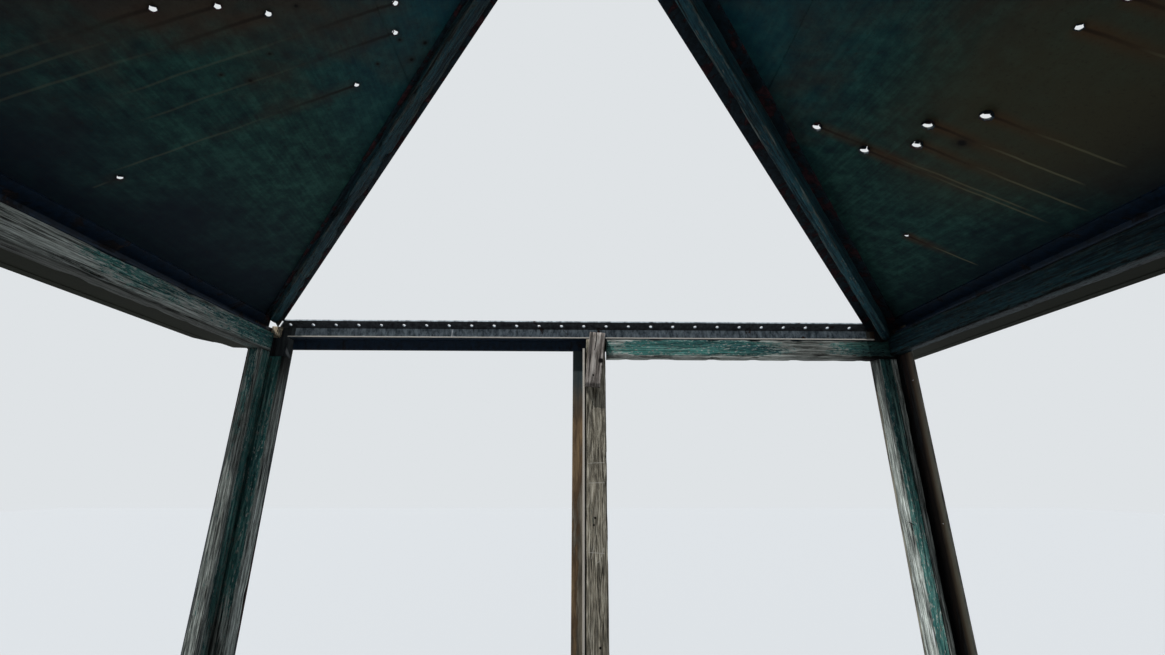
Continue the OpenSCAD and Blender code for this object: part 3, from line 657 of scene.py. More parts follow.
class TimberPile:  # gathers the timbers of one piece into one mesh
    def __init__(self):
        self.points, self.faces, self.capFaces = [], [], []
        self.grain, self.arris, self.cover, self.tone = [], [], [], []

    def add(self, matrix, length, wide, deep, wear, seed, shape=None):
        # the timber lies along its own x from 0 to length, centred on y and z;
        # shape turns a share of the length, y and z into a place on a cut timber
        wear = dict(usualWear, **wear)
        ring = sectionPoints(wide / 2, deep / 2, wear["radius"], wear["step"])
        count = max(2, round(length / wear["spacing"]))
        first = len(self.points)
        shift = Vector((seed * 1.73, seed * 0.61, seed * 0.37))
        for number in range(count + 1):
            x = length * number / count
            share = number / count
            cover = wear["cover"][0] + (wear["cover"][1] - wear["cover"][0]) * share
            tone = wear["tone"][0] + (wear["tone"][1] - wear["tone"][0]) * share
            for y, z, outY, outZ, arris in ring:
                spot = Vector((x, y, z)) + shift
                if "coverAt" in wear:
                    cover = wear["coverAt"](share, y, z)
                if "toneAt" in wear:
                    tone = wear["toneAt"](share, y, z)
                broad = noise.noise(Vector((spot.x * 9, spot.y * 55, spot.z * 55)))
                fine = noise.noise(Vector((spot.x * 5, spot.y * 330, spot.z * 330)))
                rough = 0.0006 * (0.5 + broad) + 0.0004 * (0.5 + fine)
                bite = noise.noise(Vector((spot.x * 21, spot.y * 8, spot.z * 8))) - wear["hold"]
                sunk = max(0.0, rough) + arris * max(0.0, bite) * wear["chip"]
                along = x
                if number in (0, count):
                    ragged = wear["ragged"] * (0.5 + noise.noise(Vector((seed, y * 260, z * 260))))
                    along += max(0.0, ragged) * (1 if number == 0 else -1)
                place = Vector((along, y - outY * sunk, z - outZ * sunk))
                if shape:
                    place = shape(along / length, place.y, place.z)
                self.points.append(matrix @ place)
                self.grain.extend((x + shift.x, y + shift.y, z + shift.z))
                self.arris.append(arris)
                self.cover.append(cover)
                self.tone.append(tone)
        size = len(ring)
        for number in range(count):
            for part in range(size):
                a = first + number * size + part
                b = first + number * size + (part + 1) % size
                self.faces.append((a, b, b + size, a + size))
        self.capFaces.append(tuple(first + part for part in reversed(range(size))))
        self.capFaces.append(tuple(first + count * size + part for part in range(size)))

    def addBox(self, low, high, wear, seed):
        # a timber between two corners of the frame, its grain along the longest side
        size = [high[k] - low[k] for k in range(3)]
        long = size.index(max(size))
        side, up = [(1, 2), (2, 0), (0, 1)][long]
        axes = [Vector((0, 0, 0)) for _ in range(3)]
        axes[0][long], axes[1][side], axes[2][up] = 1, 1, 1
        start = Vector([(low[k] + high[k]) / 2 for k in range(3)])
        start[long] = low[long]
        matrix = Matrix.Translation(start) @ Matrix(axes).transposed().to_4x4()
        self.add(matrix, size[long], size[side], size[up], wear, seed)

    def build(self, name, material):
        mesh = bpy.data.meshes.new(name)
        mesh.from_pydata([tuple(p) for p in self.points], [], self.faces + self.capFaces)
        for title, kind, key, values in (("grain", "FLOAT_VECTOR", "vector", self.grain),
                                         ("arris", "FLOAT", "value", self.arris),
                                         ("cover", "FLOAT", "value", self.cover),
                                         ("tone", "FLOAT", "value", self.tone)):
            mesh.attributes.new(title, kind, "POINT").data.foreach_set(key, values)
        smooth = [True] * len(self.faces) + [False] * len(self.capFaces)
        mesh.polygons.foreach_set("use_smooth", smooth)
        mesh.materials.append(material)
        mesh.validate()
        return addObject(name, mesh)


def placePile(pile, name, finish, replaced):
    piece = pile.build(name, timberMaterials[finish])
    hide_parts(replaced)
    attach(piece, "root")


def placeTimbers(name, group, finish, replaced):
    pile = TimberPile()
    for number, (low, high, *own) in enumerate(group["sticks"]):  # some have wear of their own
        wear = dict(group["wear"], **(own[0] if own else {}))
        pile.addBox(low, high, wear, number + group["seed"] * 7.3)
    placePile(pile, name, finish, replaced)


def around(low, high, turn):
    # a box turned about the middle of the cab by whole quarters, as (low, high)
    for _ in range(turn):
        low, high = (-high[1], low[0], low[2]), (-low[1], high[0], high[2])
    return low, high


inner, face, strip, sill = cab["inner"], cab["face"], cab["strip"], cab["sill"]
gap, edge = cab["nailGap"], cab["nailGap"] + cab["strip"]
frontTop, sideTop, floorTop, post = cab["frontTop"], cab["sideTop"], cab["floor"], cab["post"]

mullionNailers = {
    "seed": 3,
    "wear": {"cover": (0.02, 0.02), "tone": (0.65, 0.6), "chip": 0.008, "hold": 0.2},
    "sticks": [((gap, face, sill), (edge, inner, frontTop))],
}
placeTimbers("mullionNailerFront", mullionNailers, "scratchedBareTimber",
             "mullion_nailer_front")

otherNailers = {
    "seed": 11,
    "wear": {"cover": (0.10, 0.30), "tone": (0.5, 0.4), "spacing": 0.03, "step": 0.016},
    "sticks": [around(*box, quarter) for quarter in (1, 2, 3) for box in (
        ((gap, face, sill), (edge, inner, sideTop)),
        ((-edge, face, sill), (-gap, inner, sideTop)))],
}
placeTimbers("mullionNailersOther", otherNailers, "weatheredBareTimber",
             "mullion_nailers_other")


def patchAt(value, middle, reach):  # 1 at the middle, falling to 0 over the reach
    return max(0.0, 1 - abs(value - middle) / reach)


def rampUp(value, start, reach):  # 0 up to start, 1 after the reach
    return max(0.0, min(1.0, (value - start) / reach))


# the window side of the front posts is bare, and wider so lower down; paint stays up in the
# corner. Tone paints light and shade: the tops and the left post's corner side are painted
# dark as shade, the right post's bare strip is painted brighter lower down as sunlight, and
# the left post's window strip is darker towards the top. Shares run up a post, y and z across it
def leftPostCover(share, y, z):
    return 1.0 - 1.2 * rampUp(y, 0.022, 0.008) - 0.8 * rampUp(-share, -0.67, 0.06)


def leftPostTone(share, y, z):
    if y < -0.007:
        return -0.1
    cornerShade = rampUp(share, 0.90, 0.09)
    return (1.05 - 0.6 * rampUp(share, 0.62, 0.3) if y > 0.022 else 1.0) - 0.8 * cornerShade


def rightPostCover(share, y, z):
    bare = rampUp(-y, 0.015 + 0.011 * rampUp(share, 0.57, 0.4), 0.006)
    return 0.9 - 1.2 * bare - 0.8 * rampUp(y, 0.0125, 0.002)


def rightPostTone(share, y, z):
    if y > 0.0125:
        return 0.55
    cornerShade = 0.7 * rampUp(share, 0.88, 0.10)
    if y < -0.013:
        return 2.1 - 1.2 * rampUp(share, 0.6, 0.35) - cornerShade
    return 1.7 - 1.5 * rampUp(share, 0.66, 0.25) - cornerShade


cornerNailersFrontBack = {
    "seed": 17,
    "wear": {"cover": (0.72, 0.80), "tone": (0.3, 0.25), "chip": 0.004, "hold": 0.12,
             "step": 0.005},
    "sticks": [
        ((-post - strip, face, floorTop), (-post, inner, frontTop - strip),
         {"coverAt": leftPostCover, "toneAt": leftPostTone}),
        ((post, face, floorTop), (post + strip, inner, frontTop - strip),
         {"coverAt": rightPostCover, "toneAt": rightPostTone}),
        ((-post - strip, -inner, floorTop), (-post, -face, sideTop - strip), {"spacing": 0.03}),
        ((post, -inner, floorTop), (post + strip, -face, sideTop - strip), {"spacing": 0.03})],
}
placeTimbers("cornerNailersFrontBack", cornerNailersFrontBack, "weatheredPaintedTimber",
             "corner_nailers_fb")

sideWide = 0.051  # the side nailers butt against the others and are narrower


def sidePostCover(share, y, z):
    if z < -0.02:
        return 0.15 + 0.5 * rampUp(share, 0.7, 0.25)
    return 1.0 - 0.75 * rampUp(-z, 0.006, 0.012) - 0.5 * rampUp(-share, -0.66, 0.06)


def sidePostTone(share, y, z):
    return 0.8 - 0.5 * rampUp(share, 0.6, 0.3) if z < -0.008 else 0.45


cornerNailersSides = {
    "seed": 23,
    "wear": {"cover": (0.70, 0.85), "tone": (0.25, 0.2), "chip": 0.004, "hold": 0.12,
             "step": 0.006},
    "sticks": [
        ((-inner, face - sideWide, floorTop), (-face, face, sideTop - strip),
         {"coverAt": sidePostCover, "toneAt": sidePostTone}),
        ((-inner, -face, floorTop), (-face, -face + sideWide, sideTop - strip), {"spacing": 0.03}),
        ((face, -face, floorTop), (inner, -face + sideWide, sideTop - strip), {"spacing": 0.03})],
}
placeTimbers("cornerNailersSides", cornerNailersSides, "weatheredPaintedTimber",
             "corner_nailers_lr")

headerStart = edge + 0.004


# paint holds along most of the front header, but for flaked patches by the
# mullion and past the middle, and a bare strip along its lower edge
def frontHeaderCover(share, y, z):
    bare = 0.5 * patchAt(share, 0.04, 0.07) + 0.8 * patchAt(share, 0.70, 0.2)
    return 1.0 - bare - 0.55 * max(0.0, (-z - 0.012) / 0.016)


def frontHeaderTone(share, y, z):
    cornerShade = 1.5 * rampUp(share, 0.80, 0.10)  # painted shade, darkest where header, post and roof meet
    return 0.9 - 0.68 * patchAt(share, 0.72, 0.16) + 0.3 * patchAt(share, 0.05, 0.08) - cornerShade


# bare and pale towards the back, flaked teal over its upper part, whole by the corner
def leftHeaderCover(share, y, z):
    inside = rampUp(share, 0.25, 0.15)
    return 0.14 + (0.42 + 12 * y) * inside + 0.45 * rampUp(share, 0.75, 0.25)


def leftHeaderTone(share, y, z):  # painted shade underneath
    return -0.1 if y < -0.029 else 1.15 - 0.45 * rampUp(share, 0.35, 0.4)


frontHeader = {
    "seed": 29,
    "wear": {"coverAt": frontHeaderCover, "toneAt": frontHeaderTone, "hold": 0.12, "step": 0.008},
    "sticks": [((headerStart, face, frontTop - strip), (post + strip, inner, frontTop))],
}
placeTimbers("frontHeader", frontHeader, "greyedPaintedTimber",
             "header_front_right")

leftHeaders = {
    "seed": 37,
    "wear": {"cover": (0.08, 0.5), "tone": (0.62, 0.5), "chip": 0.010, "hold": 0.1, "step": 0.008},
    "sticks": [
        ((-inner, headerStart, sideTop - strip), (-face, face, sideTop),
         {"coverAt": leftHeaderCover, "toneAt": leftHeaderTone}),
        ((-inner, -face, sideTop - strip), (-face, -headerStart, sideTop),
         {"cover": (0.4, 0.3), "spacing": 0.03})],
}
placeTimbers("leftHeaders", leftHeaders, "greyedPaintedTimber",
             "headers_left")


# the right headers are painted dark as shade, and darker still underneath
def rightHeaderTone(share, y, z):
    return -0.3 if y < -0.029 else 0.2


rightHeaders = {
    "seed": 43,
    "wear": {"cover": (0.8, 0.9), "tone": (0.35, 0.3), "toneAt": rightHeaderTone, "chip": 0.006,
             "hold": 0.1, "step": 0.008},
    "sticks": [
        ((face, headerStart, sideTop - strip), (inner, face, sideTop)),
        ((face, -face, sideTop - strip), (inner, -headerStart, sideTop),
         {"cover": (0.5, 0.5), "spacing": 0.03})],
}
placeTimbers("rightHeaders", rightHeaders, "paintedShadeTimber",
             "headers_right")

backHeaders = {
    "seed": 53,
    "wear": {"cover": (0.6, 0.7), "tone": (0.4, 0.35), "spacing": 0.03},
    "sticks": [((headerStart, -inner, sideTop - strip), (post + strip, -face, sideTop)),
               ((-post - strip, -inner, sideTop - strip), (-headerStart, -face, sideTop))],
}
placeTimbers("backHeaders", backHeaders, "weatheredPaintedTimber",
             "headers_back")

sillBoards = {
    "seed": 59, "wide": 0.089, "thick": 0.038, "end": 0.970,
    "wear": {"cover": (0.22, 0.12), "tone": (0.7, 0.6), "chip": 0.014, "hold": 0.1,
             "spacing": 0.02},
}
under, sillFace = sill - sillBoards["thick"], inner - sillBoards["wide"]
postGap, sillEnd = post - 0.002, sillBoards["end"]
sillBoards["sticks"] = [
    ((-postGap, sillFace, under), (postGap, inner, sill)),
    ((-postGap, -inner, under), (postGap, -sillFace, sill)),
    ((-inner, -sillEnd, under), (-sillFace, sillEnd, sill)),
    ((sillFace, -sillEnd, under), (inner, sillEnd, sill))]
placeTimbers("sillBoards", sillBoards, "weatheredBareTimber", "sill_boards")
print("wall timbers made")

# the block on the mullion stands a few degrees off plumb
block = {"long": 0.180, "wide": 0.0512, "thick": 0.025, "middle": (0.0363, 1.0115, 2.084),
         "lean": 5.5, "seed": 61,
         "wear": {"cover": (0.0, 0.05), "tone": (0.62, 0.55), "radius": 0.002, "chip": 0.006}}
pile = TimberPile()
blockTurn = Matrix.Rotation(math.radians(block["lean"] - 90), 4, "Y")
blockFoot = Matrix.Translation((-block["long"] / 2, 0, 0))
pile.add(Matrix.Translation(block["middle"]) @ blockTurn @ blockFoot, block["long"], block["thick"],
         block["wide"], block["wear"], block["seed"])
placePile(pile, "mullionBlock", "knottedBlockTimber", "mullion_block")

# nailers stand on edge under the hips, their tops cut to the two slopes and their ends cut
# plumb at the eave and at the hub; "drop" is from the hip line to the middle of the nailer
hipTimber = {"wide": 0.026, "deep": 0.0637, "drop": 0.03715, "hub": 0.044, "about": 1.46,
             "seed": 67,
             "wear": {"cover": (1.0, 1.0), "tone": (1.3, 1.2), "chip": 0.004, "hold": 0.1,
                      "step": 0.007}}
diagonal = math.sqrt(2)
hipRise = math.atan(math.tan(slope) / diagonal)
riseSin, riseCos = math.sin(hipRise), math.cos(hipRise)


def hipPlace(share, y, z):
    depth = hipTimber["drop"] - z
    eaveCut = (cab["half"] - face + cab["steel"]) * diagonal
    hubCut = (cab["half"] - hipTimber["hub"]) * diagonal
    level = eaveCut + (hubCut - eaveCut) * share + abs(y) - depth * riseSin
    high = 0.5 + z / hipTimber["deep"]
    return Vector((level / riseCos, y, -depth - abs(y) / 3 * max(0.0, high)))


pile = TimberPile()
for number, corner in enumerate((45, 225, 315)):  # the front left hip has a batten instead
    out = Vector((math.cos(math.radians(corner)), math.sin(math.radians(corner)), 0))
    along = -riseCos * out + Vector((0, 0, riseSin))
    above = riseSin * out + Vector((0, 0, riseCos))
    turn = Matrix((along, above.cross(along), above)).transposed().to_4x4()
    start = Matrix.Translation(out * cab["half"] * diagonal + Vector((0, 0, cab["eave"])))
    wear = dict(hipTimber["wear"])
    if number:
        wear["spacing"] = 0.03
    pile.add(start @ turn, hipTimber["about"], hipTimber["wide"], hipTimber["deep"], wear,
             hipTimber["seed"] + number * 5, hipPlace)
placePile(pile, "hipNailers", "paintedShadeTimber", "hip_nailers")

# a thin batten lies flat under the side leg of the front left hip, mitred at eave and hub;
# "near" and "far" are its edges as measured from the hip line
batten = {"near": 0.004, "far": 0.038, "under": cab["steel"], "thick": 0.019, "hub": 0.046,
          "about": 1.5, "seed": 83,
          "wear": {"cover": (0.95, 0.9), "tone": (0.4, 0.35), "radius": 0.002, "hold": 0.1}}
slopeSin, slopeCos = math.sin(slope), math.cos(slope)
hipTurn = math.atan(1 / slopeCos)
hipSin, hipCos = math.sin(hipTurn), math.cos(hipTurn)


def battenPlace(share, y, z):
    across = (batten["near"] + batten["far"]) / 2 - y
    depth = batten["under"] + batten["thick"] / 2 - z
    clear = cab["half"] - face + cab["steel"]
    begin = max(((clear - depth * slopeSin) / slopeCos + across * hipCos) / hipSin,
                (clear - across * hipSin) / hipCos)
    end = ((cab["half"] - batten["hub"] - depth * slopeSin) / slopeCos + across * hipCos) / hipSin
    return Vector((begin + (end - begin) * share, -across, -depth))


pile = TimberPile()
uAxis, vAxis = Vector((0, -1, 0)), Vector((slopeCos, 0, slopeSin))
alongHip, acrossHip = hipCos * uAxis + hipSin * vAxis, hipCos * vAxis - hipSin * uAxis
turn = Matrix((alongHip, acrossHip, alongHip.cross(acrossHip))).transposed().to_4x4()
pile.add(Matrix.Translation((-cab["half"], cab["half"], cab["eave"])) @ turn,
         batten["about"], batten["far"] - batten["near"], batten["thick"], batten["wear"],
         batten["seed"], battenPlace)
placePile(pile, "hipBatten", "paintedShadeTimber", "hip_batten")

# what is left of the foot of the lost nailer, snapped off below the hip
stub = {"middle": (-1.034, 1.051), "low": 2.165, "high": 2.201, "wide": 0.028, "deep": 0.022,
        "about": 0.05, "seed": 89,
        "wear": {"cover": (-0.5, -0.5), "tone": (1, 1), "step": 0.003, "spacing": 0.005,
                 "radius": 0.001}}


def stubPlace(share, y, z):
    x, forward = stub["middle"][0] + y, stub["middle"][1] + z
    splinter = max(0.0, noise.noise(Vector((x * 240, forward * 240, 4))))
    notch = max(0.0, noise.noise(Vector((x * 200, forward * 200, 9))))
    low = stub["low"] + 0.012 * splinter + 0.3 * (inner - forward)
    return Vector((low + (stub["high"] - 0.010 * notch - low) * share, y, z))


pile = TimberPile()
upright = Matrix(((0, 1, 0), (0, 0, 1), (1, 0, 0))).to_4x4()
pile.add(Matrix.Translation((*stub["middle"], 0)) @ upright, stub["about"], stub["wide"],
         stub["deep"], stub["wear"], stub["seed"], stubPlace)
placePile(pile, "nailerStub", "brokenTimber", "nailer_stub")

# the floor: levels in metres, the hatchway's corners and the raised frame round it
joists = {"seed": 91, "places": (-1.0345, -0.6045, -0.1745, 0.261, 0.909, 1.0345), "half": 0.019,
          "reach": 1.0535, "top": 0.094,
          "wear": {"cover": (0.0, 0.0), "tone": (0.45, 0.4), "spacing": 0.03, "step": 0.018}}
hatch = {"low": (0.280, -0.890), "high": (0.890, -0.280), "edge": 0.038, "top": 0.138}
low, high, edging = hatch["low"], hatch["high"], hatch["edge"]
joists["sticks"] = [((x - joists["half"], -joists["reach"], cab["steel"]),
                     (x + joists["half"], joists["reach"], joists["top"]))
                    for x in joists["places"]]
placeTimbers("floorJoists", joists, "agedFloorTimber", "floor_joists")
trimmers = {
    "seed": 97,
    "wear": joists["wear"],
    "sticks": [((low[0], y, cab["steel"]), (high[0], y + edging, joists["top"]))
               for y in (high[1], low[1] - edging)],
}
placeTimbers("hatchTrimmers", trimmers, "agedFloorTimber", "hatch_trimmers")

# fifteen boards with open joints, cut round the hatchway
boards = {"seed": 101, "gap": 0.0025, "sticks": [],
          "rows": [(-inner, low[1], 1), (low[1], high[1], 4), (high[1], inner, 9)],
          "wear": {"cover": (0.16, 0.2), "spacing": 0.03, "step": 0.014, "radius": 0.002}}
for begin, end, count in boards["rows"]:
    spans = [(-inner, low[0]), (high[0], inner)] if count == 4 else [(-inner, inner)]
    for number in range(count):
        y = begin + (end - begin) * number / count + boards["gap"] / 2
        yEnd = begin + (end - begin) * (number + 1) / count - boards["gap"] / 2
        shade = 0.35 + 0.06 * ((number * 7 + count * 3) % 6)
        boards["sticks"] += [((left, y, joists["top"]), (right, yEnd, floorTop),
                              {"tone": (shade, shade)}) for left, right in spans]
placeTimbers("floorBoards", boards, "agedFloorTimber", "floor_deck")
hatchFrame = {
    "seed": 107,
    "wear": {"cover": (0.1, 0.1), "tone": (0.5, 0.4), "spacing": 0.02},
    "sticks": [
        ((low[0] - edging, low[1] - edging, floorTop), (high[0] + edging, low[1], hatch["top"])),
        ((low[0] - edging, high[1], floorTop), (high[0] + edging, high[1] + edging, hatch["top"])),
        ((low[0] - edging, low[1], floorTop), (low[0], high[1], hatch["top"])),
        ((high[0], low[1], floorTop), (high[0] + edging, high[1], hatch["top"]))],
}
placeTimbers("hatchFrame", hatchFrame, "agedFloorTimber", "hatch_frame")
print("roof and floor timbers made")


def makeFastenerTree(name):
    # one head with its washer on every point, turned to face the stored
    # direction and spun at random so that no two flats line up
    tree = bpy.data.node_groups.new(name, "GeometryNodeTree")
    for title, kind, value in (("Geometry", "Geometry", None), ("HeadSides", "Int", 6),
                               ("HeadRadius", "Float", 0.006), ("HeadHeight", "Float", 0.004),
                               ("WasherRadius", "Float", 0.009), ("WasherHeight", "Float", 0.0012),
                               ("Seed", "Int", 3), ("Material", "Material", None)):
        socket = tree.interface.new_socket(title, in_out="INPUT", socket_type="NodeSocket" + kind)
        if value is not None:
            socket.default_value = value
    tree.interface.new_socket("Geometry", in_out="OUTPUT", socket_type="NodeSocketGeometry")
    add = partial(addNode, tree)
    given = add("NodeGroupInput").outputs
    facing = add("GeometryNodeInputNamedAttribute", {"Name": "facing"}, data_type="FLOAT_VECTOR")
    turned = add("FunctionNodeAlignRotationToVector", {"Vector": facing}, axis="Z")
    spin = add("FunctionNodeRandomValue", {"Min": 0.0, "Max": 6.283, "Seed": given["Seed"]})
    spinTurn = add("FunctionNodeAxisAngleToRotation", {"Axis": (0, 0, 1), "Angle": spin})
    rotation = add("FunctionNodeRotateRotation", {"Rotation": turned,
        "Rotate By": spinTurn}, rotation_space="LOCAL")
    head = add("GeometryNodeMeshCylinder", {"Vertices": given["HeadSides"],
        "Radius": given["HeadRadius"], "Depth": given["HeadHeight"]})
    washer = add("GeometryNodeMeshCylinder", {"Vertices": 14,
        "Radius": given["WasherRadius"], "Depth": given["WasherHeight"]})
    washerHalf = add("Math", [given["WasherHeight"], 0.5], operation="MULTIPLY")
    headHalf = add("Math", [given["HeadHeight"], 0.5], operation="MULTIPLY")
    headUp = add("Math", [given["WasherHeight"], headHalf], operation="ADD")
    washerMove = add("CombineXYZ", {"Z": washerHalf})
    headMove = add("CombineXYZ", {"Z": headUp})
    head = add("GeometryNodeTransform", {"Geometry": head.outputs["Mesh"], "Translation": headMove})
    washer = add("GeometryNodeTransform", {"Geometry": washer.outputs["Mesh"],
        "Translation": washerMove})
    both = add("GeometryNodeJoinGeometry", {"Geometry": head})
    feedNode(both, {"Geometry": washer})
    placed = add("GeometryNodeInstanceOnPoints", {"Points": given["Geometry"],
        "Instance": both, "Rotation": rotation})
    real = add("GeometryNodeRealizeInstances", {"Geometry": placed})
    done = add("GeometryNodeSetMaterial", {"Geometry": real, "Material": given["Material"]})
    add("NodeGroupOutput", {"Geometry": done})
    return tree


fastenerTree = makeFastenerTree("fastenersOnPoints")


def placeFasteners(name, spots, sizes):
    mesh = bpy.data.meshes.new(name + "Points")
    mesh.from_pydata([tuple(place) for place, facing in spots], [], [])
    facings = [value for place, facing in spots for value in facing]
    mesh.attributes.new("facing", "FLOAT_VECTOR", "POINT").data.foreach_set("vector", facings)
    holder = addObject(name + "Points", mesh)
    modifier = holder.modifiers.new("fasteners", "NODES")
    modifier.node_group = fastenerTree
    wanted = dict(sizes, Material=fastenerMaterial)
    for item in fastenerTree.interface.items_tree:
        if item.in_out == "INPUT" and item.name in wanted:
            modifier[item.identifier] = wanted[item.name]
    ready = holder.evaluated_get(bpy.context.evaluated_depsgraph_get())
    solid = bpy.data.meshes.new_from_object(ready)
    solid.name = name
    piece = addObject(name, solid)
    holder.modifiers.remove(modifier)
    bpy.data.objects.remove(holder)
    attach(piece, "root")


def onSlope(side, along, up, lift=0.0):
    # a place on a slope: along the eave from its middle, up the slope, and clear of it
    place = Vector((-along, cab["half"] - up * slopeCos + lift * slopeSin,
                    cab["eave"] + up * slopeSin + lift * slopeCos))
    spin = Matrix.Rotation(math.radians(roofSides[side]["turn"]), 3, "Z")
    return spin @ place, spin @ Vector((0, slopeSin, slopeCos))


def onWall(quarter, x, z, clear=0.0):
    spin = Matrix.Rotation(math.radians(90 * quarter), 3, "Z")
    return spin @ Vector((x, cab["half"] + clear, z)), spin @ Vector((0, 1, 0))


# rows of bolts along the base, the girt and the sill, and up the corner posts
wallBolts = {"levels": (0.045, 0.610, 1.012), "first": -0.98, "pitch": 0.28, "count": 8,
             "slack": 0.002, "post": 1.025, "postLevels": (0.19, 0.33, 0.47, 0.75, 0.89),
             "sizes": {"HeadRadius": 0.0055, "HeadHeight": 0.0042, "WasherRadius": 0.0085,
                       "WasherHeight": 0.0012, "HeadSides": 6, "Seed": 11}}
chance = random.Random(5)
wallSpots = []
for quarter in range(4):
    for z in wallBolts["levels"]:
        for number in range(wallBolts["count"]):
            x = wallBolts["first"] + wallBolts["pitch"] * number
            slack = chance.uniform(-wallBolts["slack"], wallBolts["slack"])
            wallSpots.append(onWall(quarter, x, z + slack, cab["sheet"]))
    for x in (-wallBolts["post"], wallBolts["post"]):
        wallSpots += [onWall(quarter, x, z, cab["sheet"]) for z in wallBolts["postLevels"]]
placeFasteners("wallBolts", wallSpots, wallBolts["sizes"])

# bolts in the sheets: along the eave, along the lap above it, and up beside each hip
roofBolts = {"pitch": 0.0762, "eaveUp": 0.020, "lapPitch": 0.14, "lapUp": 0.774,
             "hipUp": 0.10, "hipPitch": 0.1524, "hipIn": 0.026,
             "sizes": {"HeadRadius": 0.005, "HeadHeight": 0.004, "WasherRadius": 0.0095,
                       "WasherHeight": 0.0014, "HeadSides": 6, "Seed": 23}}
roofSpots = []
for side in ("left", "back", "right"):
    for pitch, each, up, lift in ((roofBolts["pitch"], 13, roofBolts["eaveUp"], cab["sheet"]),
                                  (roofBolts["lapPitch"], 2, roofBolts["lapUp"], cab["sheet"] * 2)):
        roofSpots += [onSlope(side, number * pitch, up, lift) for number in range(-each, each + 1)]
    for number in range(7):
        up = roofBolts["hipUp"] + number * roofBolts["hipPitch"]
        along = cab["half"] - up * slopeCos - roofBolts["hipIn"]
        if side != "left":
            roofSpots.append(onSlope(side, -along, up, cab["sheet"] * 0.5))
        if side != "right":
            roofSpots.append(onSlope(side, along, up, cab["sheet"] * 0.5))
placeFasteners("roofBolts", roofSpots, roofBolts["sizes"])

eaveBolts = {"first": -0.93, "pitch": 0.31, "count": 7, "below": 0.024,
             "sizes": {"HeadRadius": 0.0065, "HeadHeight": 0.005, "WasherRadius": 0.010,
                       "WasherHeight": 0.0015, "HeadSides": 6, "Seed": 31}}
eaveSpots = [onWall(quarter, eaveBolts["first"] + eaveBolts["pitch"] * number,
                    cab["eave"] - eaveBolts["below"])
             for quarter in range(4) for number in range(eaveBolts["count"])]
placeFasteners("eaveBolts", eaveSpots, eaveBolts["sizes"])

# two nails through each board into each joist, driven a little below the boards' tops
floorNails = {"shares": (0.2, 0.8), "slack": 0.006, "sunk": 0.0006,
              "sizes": {"HeadRadius": 0.0035, "HeadHeight": 0.0004, "WasherRadius": 0.0038,
                        "WasherHeight": 0.0004, "HeadSides": 10, "Seed": 41}}
nailSpots = []
slack = floorNails["slack"]
for start, end, _ in boards["sticks"]:
    for x in joists["places"]:
        if start[0] < x < end[0]:
            for share in floorNails["shares"]:
                y = start[1] + (end[1] - start[1]) * share
                nailX, nailY = x + chance.uniform(-slack, slack), y + chance.uniform(-slack, slack)
                nailSpots.append(((nailX, nailY, floorTop - floorNails["sunk"]), (0, 0, 1)))
placeFasteners("floorNails", nailSpots, floorNails["sizes"])
print("fasteners placed")


# metal pushed through by the bullets: long torn petals at the five ragged holes and a short
# burred lip at the small ones
petals = {"thick": 0.0012, "rows": (0.0, 0.35, 0.7, 1.0), "taper": 0.14,
          "torn": {"radius": 0.010, "count": 7, "reach": 0.014},
          "shot": {"radius": 0.0055, "count": 5, "reach": 0.004}}
petalPoints, petalFaces = [], []
chance = random.Random(9)


def addPetals(middle, facing, hole):
    level = Vector((0, 1, 0))
    upward = facing.cross(level)
    thick = petals["thick"]
    for number in range(hole["count"]):
        start = 2 * math.pi * (number + chance.uniform(-0.12, 0.12)) / hole["count"]
        # they are longest towards the back
        length = hole["reach"] * chance.uniform(0.8, 1.0) * (0.62 - 0.38 * math.cos(start))
        lean = chance.uniform(0.05, 0.3)
        first = len(petalPoints)
        for share in petals["rows"]:
            wide = math.pi / hole["count"] * (1 - petals["taper"] * share * share)
            ring = hole["radius"] * 1.02 + length * lean * share * share
            for turn, off in ((-wide, 0), (wide, 0), (wide, thick), (-wide, thick)):
                away = level * math.cos(start + turn) + upward * math.sin(start + turn)
                petalPoints.append(middle + away * (ring + off) - facing * length * 0.95 * share)
        for step in range(3):
            for side in range(4):
                a, b = first + step * 4 + side, first + step * 4 + (side + 1) % 4
                petalFaces.append((a, b, b + 4, a + 4))
        petalFaces.append(tuple(first + k for k in (3, 2, 1, 0)))
        petalFaces.append(tuple(first + k for k in (12, 13, 14, 15)))


for side, kind, holes in (("right", "torn", bulletHoles["right"][:5]),
                          ("right", "shot", bulletHoles["right"][5:]),
                          ("left", "shot", bulletHoles["left"])):
    for along, up in holes:
        addPetals(*onSlope(side, along * cab["half"], up * cab["half"] / slopeCos), petals[kind])
petalMesh = bpy.data.meshes.new("bulletHolePetals")
petalMesh.from_pydata([tuple(p) for p in petalPoints], [], petalFaces)
tidyMesh = bmesh.new()
tidyMesh.from_mesh(petalMesh)
bmesh.ops.recalc_face_normals(tidyMesh, faces=tidyMesh.faces)
tidyMesh.to_mesh(petalMesh)
tidyMesh.free()
petalMesh.materials.append(steelMaterials["rustedHipSteel"])
petalPiece = addObject("bulletHolePetals", petalMesh)
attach(petalPiece, "root")

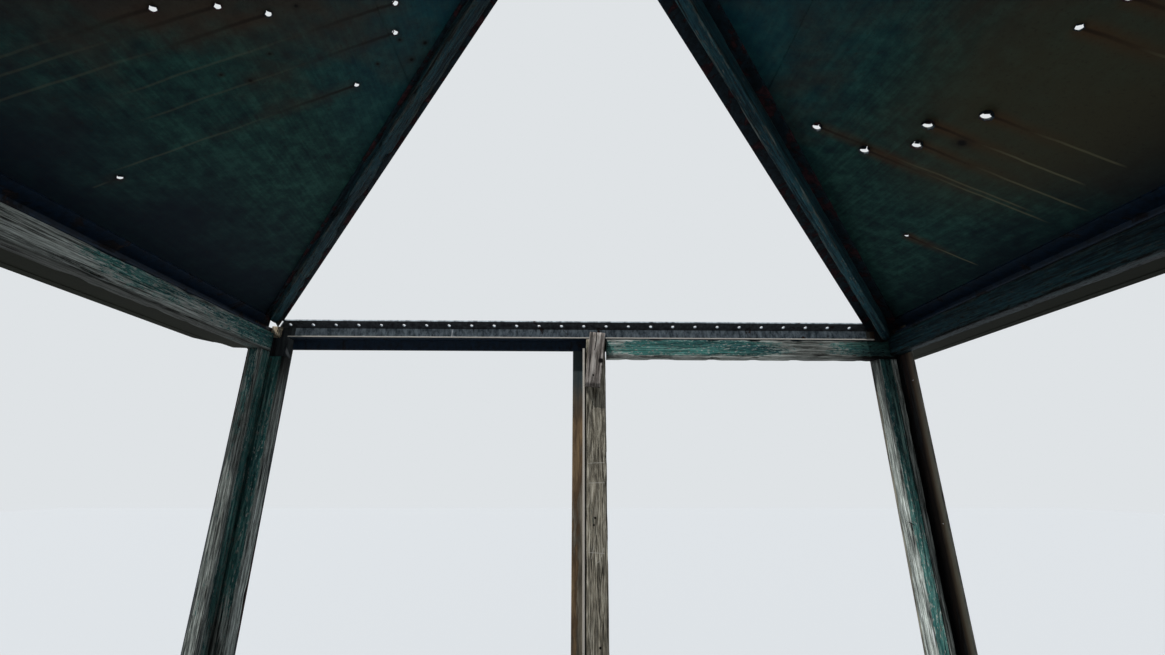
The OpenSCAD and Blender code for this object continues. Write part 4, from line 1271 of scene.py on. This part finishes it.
# pale floor, soft fill and one sun, whose direction comes from the block's shadow; metres
stage = {"floor": "c9caca", "floorHalf": 30, "floorDrop": 0.002, "sky": "dfe3e6", "fill": 0.50,
         "fillColour": "d3e0ee", "sun": 3.3, "sunWide": 1.0, "sunWay": (0.387, 0.324, -0.863)}
floorMesh = bpy.data.meshes.new("studioFloor")
wide = stage["floorHalf"]
floorMesh.from_pydata([(x * wide, y * wide, -stage["floorDrop"])
                       for x, y in ((-1, -1), (1, -1), (1, 1), (-1, 1))], [], [(0, 1, 2, 3)])
floorMaterial, _, floorShader = startMaterial("paleStudioFloor")
feedNode(floorShader, {"Base Color": stage["floor"], "Roughness": 0.9})
floorMesh.materials.append(floorMaterial)
studioFloor = addObject("studioFloor", floorMesh)

sunData = bpy.data.lights.new("sun", "SUN")
sunData.energy = stage["sun"]
sunData.angle = math.radians(stage["sunWide"])
sunLamp = addObject("sun", sunData)
sunLamp.rotation_euler = Vector(stage["sunWay"]).to_track_quat("-Z", "Y").to_euler()

world = bpy.data.worlds.new("studio")
bpy.context.scene.world = world
world.use_nodes = True
world.node_tree.nodes.clear()
add = partial(addNode, world.node_tree)
seen = add("LightPath")
straight = add("Math", [seen.outputs["Is Camera Ray"],
    seen.outputs["Is Glossy Ray"]], operation="ADD")
straight = add("Math", [straight, seen.outputs["Is Transmission Ray"]],
    operation="ADD", use_clamp=True)
fill = add("Background", {"Color": stage["fillColour"], "Strength": stage["fill"]})
backdrop = add("Background", {"Color": stage["sky"], "Strength": 1.0})
either = add("MixShader", [straight, fill, backdrop])
add("OutputWorld", {"Surface": either})

viewpoint = {"place": (-0.030, -0.500, 1.716), "pitch": 17.53, "yaw": 0.96, "roll": 0.06,
             "lens": 14.706}  # metres, degrees and millimetres


def makeCamera():
    pitch, yaw, roll = (math.radians(viewpoint[key]) for key in ("pitch", "yaw", "roll"))
    reach = math.cos(pitch)
    ahead = Vector((math.sin(yaw) * reach, math.cos(yaw) * reach, math.sin(pitch)))
    level = Vector((math.cos(yaw), -math.sin(yaw), 0))
    over = level.cross(ahead)
    right = math.cos(roll) * level + math.sin(roll) * over
    up = right.cross(ahead)
    turn = Matrix((right, up, -ahead)).transposed().to_4x4()
    cameraData = bpy.data.cameras.new("camera")
    cameraData.lens = viewpoint["lens"]
    cameraData.sensor_width = 36
    cameraData.clip_start = 0.02
    cameraObject = addObject("camera", cameraData)
    cameraObject.matrix_world = Matrix.Translation(viewpoint["place"]) @ turn
    bpy.context.scene.camera = cameraObject


makeCamera()
bpy.context.scene.view_settings.view_transform = "Standard"
print("scene ready")
